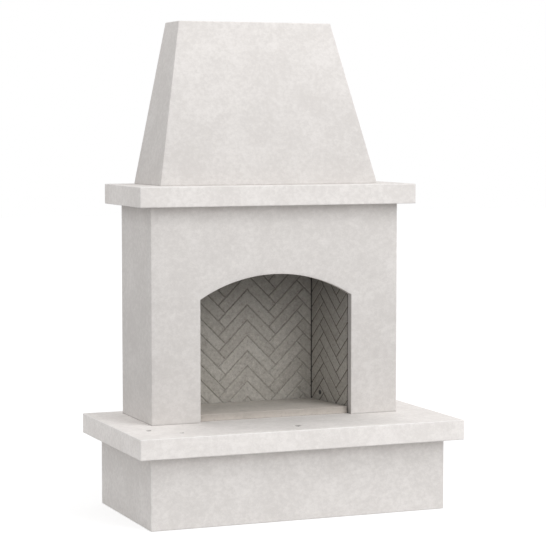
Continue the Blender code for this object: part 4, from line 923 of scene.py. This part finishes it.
def trimmed_panel(name, width, low, height, shift, slab_rise, mirror=False):
    """The relief cut off square at the panel's edges, mirrored about u = 0 if asked, and closed by
    edges and a back that stand the panel's thickness behind its face."""
    points, faces, joint, tone = panel_sheet(width, low, height, shift, slab_rise)
    used, faces = np.unique(faces, return_inverse=True)
    mesh = mesh_of(name, points[used], faces.reshape(-1, 4), joint=joint[used], tone=tone[used])
    shape = bmesh.new()
    shape.from_mesh(mesh)
    for spot, way in (((low, 0, 0), (-1, 0, 0)), ((width, 0, 0), (1, 0, 0)),
                      ((0, 0, 0), (0, 0, -1)), ((0, 0, height), (0, 0, 1))):
        bmesh.ops.bisect_plane(shape, geom=parts_of(shape), dist=1e-7, plane_co=spot, plane_no=way,
                               clear_outer=True)
    if mirror:
        twin = bmesh.ops.duplicate(shape, geom=parts_of(shape))["geom"]
        bmesh.ops.scale(shape, vec=(-1, 1, 1), verts=corners_of(twin))
        middle = [vert for vert in shape.verts if abs(vert.co.x) < 1e-5]
        bmesh.ops.remove_doubles(shape, verts=middle, dist=1e-5)
    edges = [edge for edge in shape.edges if edge.is_boundary]
    skirt = corners_of(bmesh.ops.extrude_edge_only(shape, edges=edges)["geom"])
    bmesh.ops.scale(shape, vec=(1, 0, 1), verts=skirt)
    bmesh.ops.translate(shape, vec=(0, PANEL_THICKNESS, 0), verts=skirt)
    close(shape, mesh)
    return mesh


def refractory(name, shift, batch, joint_darkening, axis, shaded_from):
    """Grey-brown refractory: every brick a slightly different grey, grog specks, joints with more
    or less dirt in them, a smoky darkening towards the top of the firebox, and a painted shadow in
    the corner gap, which sets in at a given place on one axis. `batch` is how pale this panel came
    out, and the joint darkening how dark its joints are, at its foot and at its top."""
    made, shader, where = new_material(name)
    shifted = moved(where, Location=shift)
    cloud = noise(shifted, 9.0, 5.0, 0.6)
    mottle = noise(shifted, 75.0, 5.0, 0.7)
    sand = noise(shifted, 420.0, 2.0, 0.7)
    grey = plus(times(mark_on(where, "tone"), 0.40), times(cloud, 0.60))
    colour = blend(span(grey, 0.2, 0.8), BRICK_DARK, BRICK_LIGHT)
    colour = blend(span(mottle, 0.52, 0.70, 0.0, 0.65), colour, BRICK_PALE_SPOT)
    colour = blend(span(mottle, 0.48, 0.32, 0.0, 0.65), colour, BRICK_DARK_SPOT)
    colour = shaded(colour, span(sand, 0.3, 0.7, 0.80 * batch, 1.17 * batch))
    distance, chance = cells_in(shifted, 210.0)
    grog = times(span(distance, 0.20, 0.34, 1.0, 0.0), span(chance, 0.84, 0.88))
    colour = blend(times(grog, 0.55), colour, GROG)
    height = coordinate(where, 2)
    reach = plus(height, times(noise(shifted, 4.5, 2.0, 0.5), 0.4))
    filled = times(span(mark_on(where, "joint"), 0.35, 1.0), span(reach, 0.68, 1.35, *joint_darkening))
    colour = blend(filled, colour, JOINT_DIRT)
    colour = blend(span(plus(height, times(cloud, 0.22)), 0.78, 1.35, 0.0, 0.36), colour, SMOKE)
    side = coordinate(where, axis)
    side = place(side, "ShaderNodeMath", {0: side}, operation="ABSOLUTE").outputs[0]
    # Painted shadow in the corner gap.
    colour = blend(span(side, shaded_from, shaded_from + CORNER_SHADOW_EDGE, 0.0, 0.85), colour, CORNER_SHADOW)
    coat(shader, colour, span(mottle, 0.3, 0.7, 0.84, 0.97), (mottle, 0.0012), (sand, 0.0005),
         (span(grog, 0, 1, 1, 0), 0.0004), gloss=REFRACTORY_GLOSS)
    return made


def line_firebox(side, mesh, *look):
    """Put one panel in its solid's place, with a refractory of its own look."""
    brick = refractory(f"{side}_refractory", *look)
    return settle(mesh, brick, f"refractory_{side}", PANEL_SHARP)


def make_panels():
    """The back across the firebox, the right side turned about its rear corner, and the left side
    as its mirror image. The gas hole is bored through the right side afterwards."""
    back_low, back_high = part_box("refractory_back")
    height = back_high.z - back_low.z
    slab_rise = back_low.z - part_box("hearth_slab")[1].z
    face = back_low.y
    back = trimmed_panel("back_panel", back_high.x, 0.0, height, BACK_SHIFT, slab_rise, mirror=True)
    back.transform(Matrix.Translation((0, face, back_low.z)))
    line_firebox("back", back, (0, 0, 0), BACK_BATCH, BACK_DIRT, 0, REAR_HALF - CORNER_SHADOW_REACH / 2)
    length = PANEL_RUN / math.cos(SPLAY)
    right = trimmed_panel("right_panel", length, CORNER_GAP, height, SIDE_SHIFT, slab_rise)
    corner = Matrix.Translation((REAR_HALF, face, back_low.z))
    turn = corner @ Matrix.Rotation(SPLAY - math.pi / 2, 4, "Z")
    right.transform(turn)
    left = right.copy()
    left.name = "left_panel"
    left.transform(Matrix.Scale(-1, 4, (1, 0, 0)))
    left.flip_normals()
    rear = face - CORNER_GAP - CORNER_SHADOW_REACH
    line_firebox("left", left, (2.3, 0, 0), SIDE_BATCH, SIDE_DIRT, 1, rear)
    return line_firebox("right", right, (4.1, 0, 0), SIDE_BATCH, SIDE_DIRT, 1, rear), turn, -slab_rise


right_panel, right_turn, slab_drop = make_panels()


# Firebox floor: a plain slab of paler refractory, cast with a square front edge that shows under
# the arch and a thin lip that hides the steel pan it lies in. Ash has greyed it behind the front.
FLOOR_SPACING = 0.02
FLOOR_ARRISES = (0.0015, 0.004)
FLOOR_SIDE_CORNER = (0.0022, 0.0012)
FLOOR_CORNER_WEAR = 0.5
FLOOR_WEAR = 0.35
LIP_DEPTH = 0.0019
LIP_DROP = 0.0021
FLOOR_REAR_HALF = 0.361
FLOOR_BEIGE, FLOOR_ASH = (0.597, 0.548, 0.5), (0.518, 0.488, 0.446)
FLOOR_PALE_SPOT, FLOOR_DARK_SPOT = (0.666, 0.624, 0.574), (0.333, 0.305, 0.273)
FLOOR_CLOUD = (0.37, 0.342, 0.31)
FLOOR_SOOT = (0.20, 0.18, 0.16)


def floor_refractory(front, low, high):
    """Warm pale grey, cleaner and beige towards the front, dusted grey towards the back. On the
    front edge, at the place `front`, soot has run down from the arris and thins from `high` to `low`."""
    made, shader, where = new_material("floor_refractory")
    cloud = noise(where, 9.0, 5.0, 0.6)
    mottle = noise(where, 60.0, 4.0, 0.65)
    sand = noise(where, 560.0, 2.0, 0.7)
    depth = coordinate(where, 1)
    colour = blend(span(plus(depth, times(cloud, 0.10)), 0.010, 0.20), FLOOR_BEIGE, FLOOR_ASH)
    colour = blend(span(mottle, 0.45, 0.7, 0.0, 0.35), colour, FLOOR_PALE_SPOT)
    colour = blend(span(mottle, 0.45, 0.3, 0.0, 0.35), colour, FLOOR_DARK_SPOT)
    colour = blend(span(cloud, 0.50, 0.70, 0.0, 0.35), colour, FLOOR_CLOUD)
    on_front = span(depth, front + 0.003, front + 0.001)
    run = times(on_front, span(coordinate(where, 2), low, high, 0.10, 0.46))
    colour = blend(run, colour, FLOOR_SOOT)
    coat(shader, colour, span(mottle, 0.3, 0.7, 0.84, 0.96), (mottle, 0.0007), (sand, 0.0004),
         gloss=REFRACTORY_GLOSS)
    return made


def make_floor():
    """Rounded block whose half width narrows evenly from the front to the back."""
    low, high, knots = box_and_knots("refractory_floor", FLOOR_SPACING)
    line = slab_outside(low, high, TOP_INSET, FLOOR_ARRISES, 4)
    corners = narrowing(line, *FLOOR_SIDE_CORNER)
    corners[[0, -1]] = 0
    rings = rings_in(low, high, line, corners, knots)
    corner_wear = FLOOR_CORNER_WEAR * (corners[:, None] > 0)
    rings, marks = worn(rings, line, knots, 71, corner_wear, FLOOR_WEAR)
    patches = [(rings, quads(rings), marks)]
    patches += [sheet(cap(low, high, line[end], knots)) for end in (-1, 0)]
    lip = (rings[..., 1] < low.y + LIP_DEPTH) & (rings[..., 2] < low.z + 2 * LIP_DROP)
    rings[..., 2] -= LIP_DROP * lip
    for points, _, _ in patches:
        share = (points[..., 1] - low.y) / (high.y - low.y)
        points[..., 0] *= 1 + (FLOOR_REAR_HALF / high.x - 1) * share
    beige = floor_refractory(low.y, low.z, high.z)
    join("floor_panel", patches, beige, "refractory_floor")


make_floor()


# Gas inlet: a threaded steel sleeve let into the right-hand panel just above the floor, with its
# brass locknut outside the steel shell. The panel is bored for it.
GAS_SETBACK = 0.089
GAS_RISE = 0.074
GAS_HOLE = 0.0125
GAS_DRILL = (-0.02, 0.05)
SLEEVE_RADIUS = 0.0122
SLEEVE_BORE = 0.0100
SLEEVE_LENGTH = 0.0623
SLEEVE_EASE = 0.0008
SLEEVE_LIP = 0.0006
SLEEVE_STEEL = (0.34, 0.33, 0.32)
LOCKNUT_BRASS = (0.62, 0.47, 0.22)
TURNED_STEPS = 48


def turned(profile, stand):
    """Profile of (radius, depth) carried round the Z axis, (r cos, r sin, depth), and stood where
    the matrix `stand` puts it."""
    turns = np.linspace(0, 2 * math.pi, TURNED_STEPS, endpoint=False)
    radius, depth = np.array(profile).T[:, :, None]
    parts = np.broadcast_arrays(radius * np.cos(turns), radius * np.sin(turns), depth)
    stand = np.array(stand)
    return np.stack(parts, axis=-1) @ stand[:3, :3].T + stand[:3, 3]


def worn_metal(name, colour, dull):
    """Plain metal that has dulled: soft patches, fine scratches one way and slight pitting."""
    made, shader, where = new_material(name)
    patch = noise(where, 14.0, 5.0, 0.6)
    fine = noise(where, 260.0, 3.0, 0.6)
    shade = blend(span(patch, 0.35, 0.65), scaled(colour, 0.72), colour)
    shade = blend(span(fine, 0.55, 0.75, 0.0, 0.25), shade, scaled(colour, 0.5))
    coat(shader, shade, span(patch, 0.3, 0.7, dull - 0.10, dull + 0.12),
         (patch, 0.0006), (fine, 0.00012), metallic=1.0)
    return made


def dress(names, material):
    """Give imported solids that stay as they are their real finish."""
    for name in names:
        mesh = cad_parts[name].data
        mesh.materials.clear()
        mesh.materials.append(material)


def make_gas_inlet():
    """Sleeve turned about the hole's axis, which runs square to the panel's face, and the hole."""
    lay = Matrix.Rotation(-math.pi / 2, 4, "X")
    axis = right_turn @ Matrix.Translation((GAS_SETBACK, 0, GAS_RISE + slab_drop)) @ lay
    rings = turned([(SLEEVE_BORE, 0.001), (SLEEVE_BORE + SLEEVE_LIP, 0), (SLEEVE_RADIUS - SLEEVE_LIP, 0),
                    (SLEEVE_RADIUS, SLEEVE_EASE), (SLEEVE_RADIUS, SLEEVE_LENGTH - SLEEVE_EASE),
                    (SLEEVE_RADIUS - SLEEVE_EASE, SLEEVE_LENGTH), (SLEEVE_BORE, SLEEVE_LENGTH)], axis)
    join("gas_sleeve_turned", [(rings, quads(rings, closed=True), 0.0)],
         worn_metal("sleeve_steel", SLEEVE_STEEL, 0.5), "gas_sleeve")
    dress(["gas_sleeve_locknut"], worn_metal("locknut_brass", LOCKNUT_BRASS, 0.38))

    start, end = GAS_DRILL
    bore = turned([(1e-7, start), (GAS_HOLE, start), (GAS_HOLE, end), (1e-7, end)], axis)
    drill = mesh_of("gas_bore", bore.reshape(-1, 3), quads(bore).reshape(-1, 4))
    weld(drill, 1e-6)
    cutter = put("gas_bore", drill)
    cut = right_panel.modifiers.new("gas_bore", "BOOLEAN")
    cut.operation = "DIFFERENCE"
    cut.solver = "EXACT"
    cut.object = cutter
    seen = bpy.context.evaluated_depsgraph_get()
    bored = bpy.data.meshes.new_from_object(right_panel.evaluated_get(seen), depsgraph=seen,
                                            preserve_all_data_layers=True)
    right_panel.modifiers.clear()
    right_panel.data = bored
    bpy.data.objects.remove(cutter, do_unlink=True)


make_gas_inlet()


# Firebox shell: folded steel sheet painted with black stove paint, behind the panels, with flanges
# and a lintel strip that close the gap behind the front wall.
PAINT_BLACK, PAINT_BROWNED = (0.022, 0.022, 0.023), (0.085, 0.075, 0.066)


def stove_paint(name, heat):
    """Dull black paint, browner and greyer where `heat` has worked on it, with a fine orange-peel."""
    made, shader, where = new_material(name)
    patch = noise(where, 8.0, 5.0, 0.6)
    peel = noise(where, 420.0, 2.0, 0.5)
    colour = blend(span(patch, 0.4, 0.7, 0.0, heat), PAINT_BLACK, PAINT_BROWNED)
    coat(shader, colour, span(patch, 0.3, 0.7, 0.52, 0.74), (patch, 0.0008), (peel, 0.00008))
    return made


dress(["firebox_floor_pan", "firebox_back_sheet", "firebox_left_sheet", "firebox_right_sheet",
       "firebox_top_plate", "face_flange_left", "face_flange_right", "lintel_plate"],
      stove_paint("shell_paint", 0.35))


# Smoke dome and throat: a welded sheet hood over the fire and a cast frame with a ledge above it,
# both blackened. The damper's blade, shaft and handle are black steel gone brown with heat, and the
# shaft turns in two brass bushes.
BUSH_BRASS = (0.42, 0.31, 0.16)

dress(["smoke_dome", "damper_frame"], stove_paint("dome_paint", 0.6))
dress(["damper_blade", "damper_shaft", "damper_handle"], stove_paint("damper_paint", 0.9))
dress(["damper_bush_left", "damper_bush_right"], worn_metal("bush_brass", BUSH_BRASS, 0.45))


# Flue: two lengths of stainless duct with a band over their joint, a flashing laid in the hood's
# rebate, and the slotted spark screen on top. The top pieces have weathered dull.
STAINLESS_DARK, STAINLESS_LIGHT = (0.50, 0.50, 0.505), (0.62, 0.62, 0.625)
STAINLESS_STAIN = (0.33, 0.315, 0.29)
MILL_STREAKS = (6.0, 260.0, 260.0)


def sheet_stainless(name, weather):
    """Rolled stainless: long fine streaks from the mill, dulled by patches of weather."""
    made, shader, where = new_material(name)
    streak = noise(moved(where, Scale=MILL_STREAKS), 1.0, 3.0, 0.6)
    patch = noise(where, 7.0, 5.0, 0.6)
    colour = blend(span(streak, 0.3, 0.7), STAINLESS_DARK, STAINLESS_LIGHT)
    colour = blend(span(patch, 0.45, 0.7, 0.0, weather), colour, STAINLESS_STAIN)
    rough = plus(span(streak, 0.3, 0.7, 0.24, 0.34), span(patch, 0.4, 0.7, 0.0, 0.25 * weather))
    coat(shader, colour, rough, (patch, 0.0012), (streak, 0.00004), metallic=1.0)
    return made


dress(["flue_lower", "flue_upper", "flue_band"], sheet_stainless("flue_stainless", 0.3))
dress(["top_flashing", "spark_screen"], sheet_stainless("flashing_stainless", 0.8))


# Steel frame, feet, brackets, bolts and dowels: zinc-coated stock, hidden in the base, behind the
# walls and inside the hood. The zinc shows its crystals.
FRAME_ZINC, FIXING_ZINC = (0.55, 0.565, 0.58), (0.60, 0.60, 0.58)
ZINC_BLOOM = (0.72, 0.73, 0.74)


def zinc_coat(name, colour, crystal):
    """Zinc coat: a patchwork of crystals, each with its own grey and gloss, and white bloom."""
    made, shader, where = new_material(name)
    _, pick = cells_in(where, crystal, 1)
    bloom = noise(where, 12.0, 6.0, 0.65)
    shade = blend(pick, scaled(colour, 0.78), colour)
    shade = blend(span(bloom, 0.5, 0.75, 0.0, 0.5), shade, ZINC_BLOOM)
    coat(shader, shade, span(pick, 0, 1, 0.34, 0.52), (bloom, 0.0004), metallic=1.0)
    return made


tubes = [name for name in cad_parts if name.startswith(("frame_", "levelling_foot_"))]
fixings = [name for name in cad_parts
           if name.endswith(("_bracket", "_bolt")) or name.startswith("mantel_dowel_")]
dress(sorted(tubes), zinc_coat("frame_zinc", FRAME_ZINC, 90.0))
dress(sorted(fixings), zinc_coat("fixing_zinc", FIXING_ZINC, 260.0))
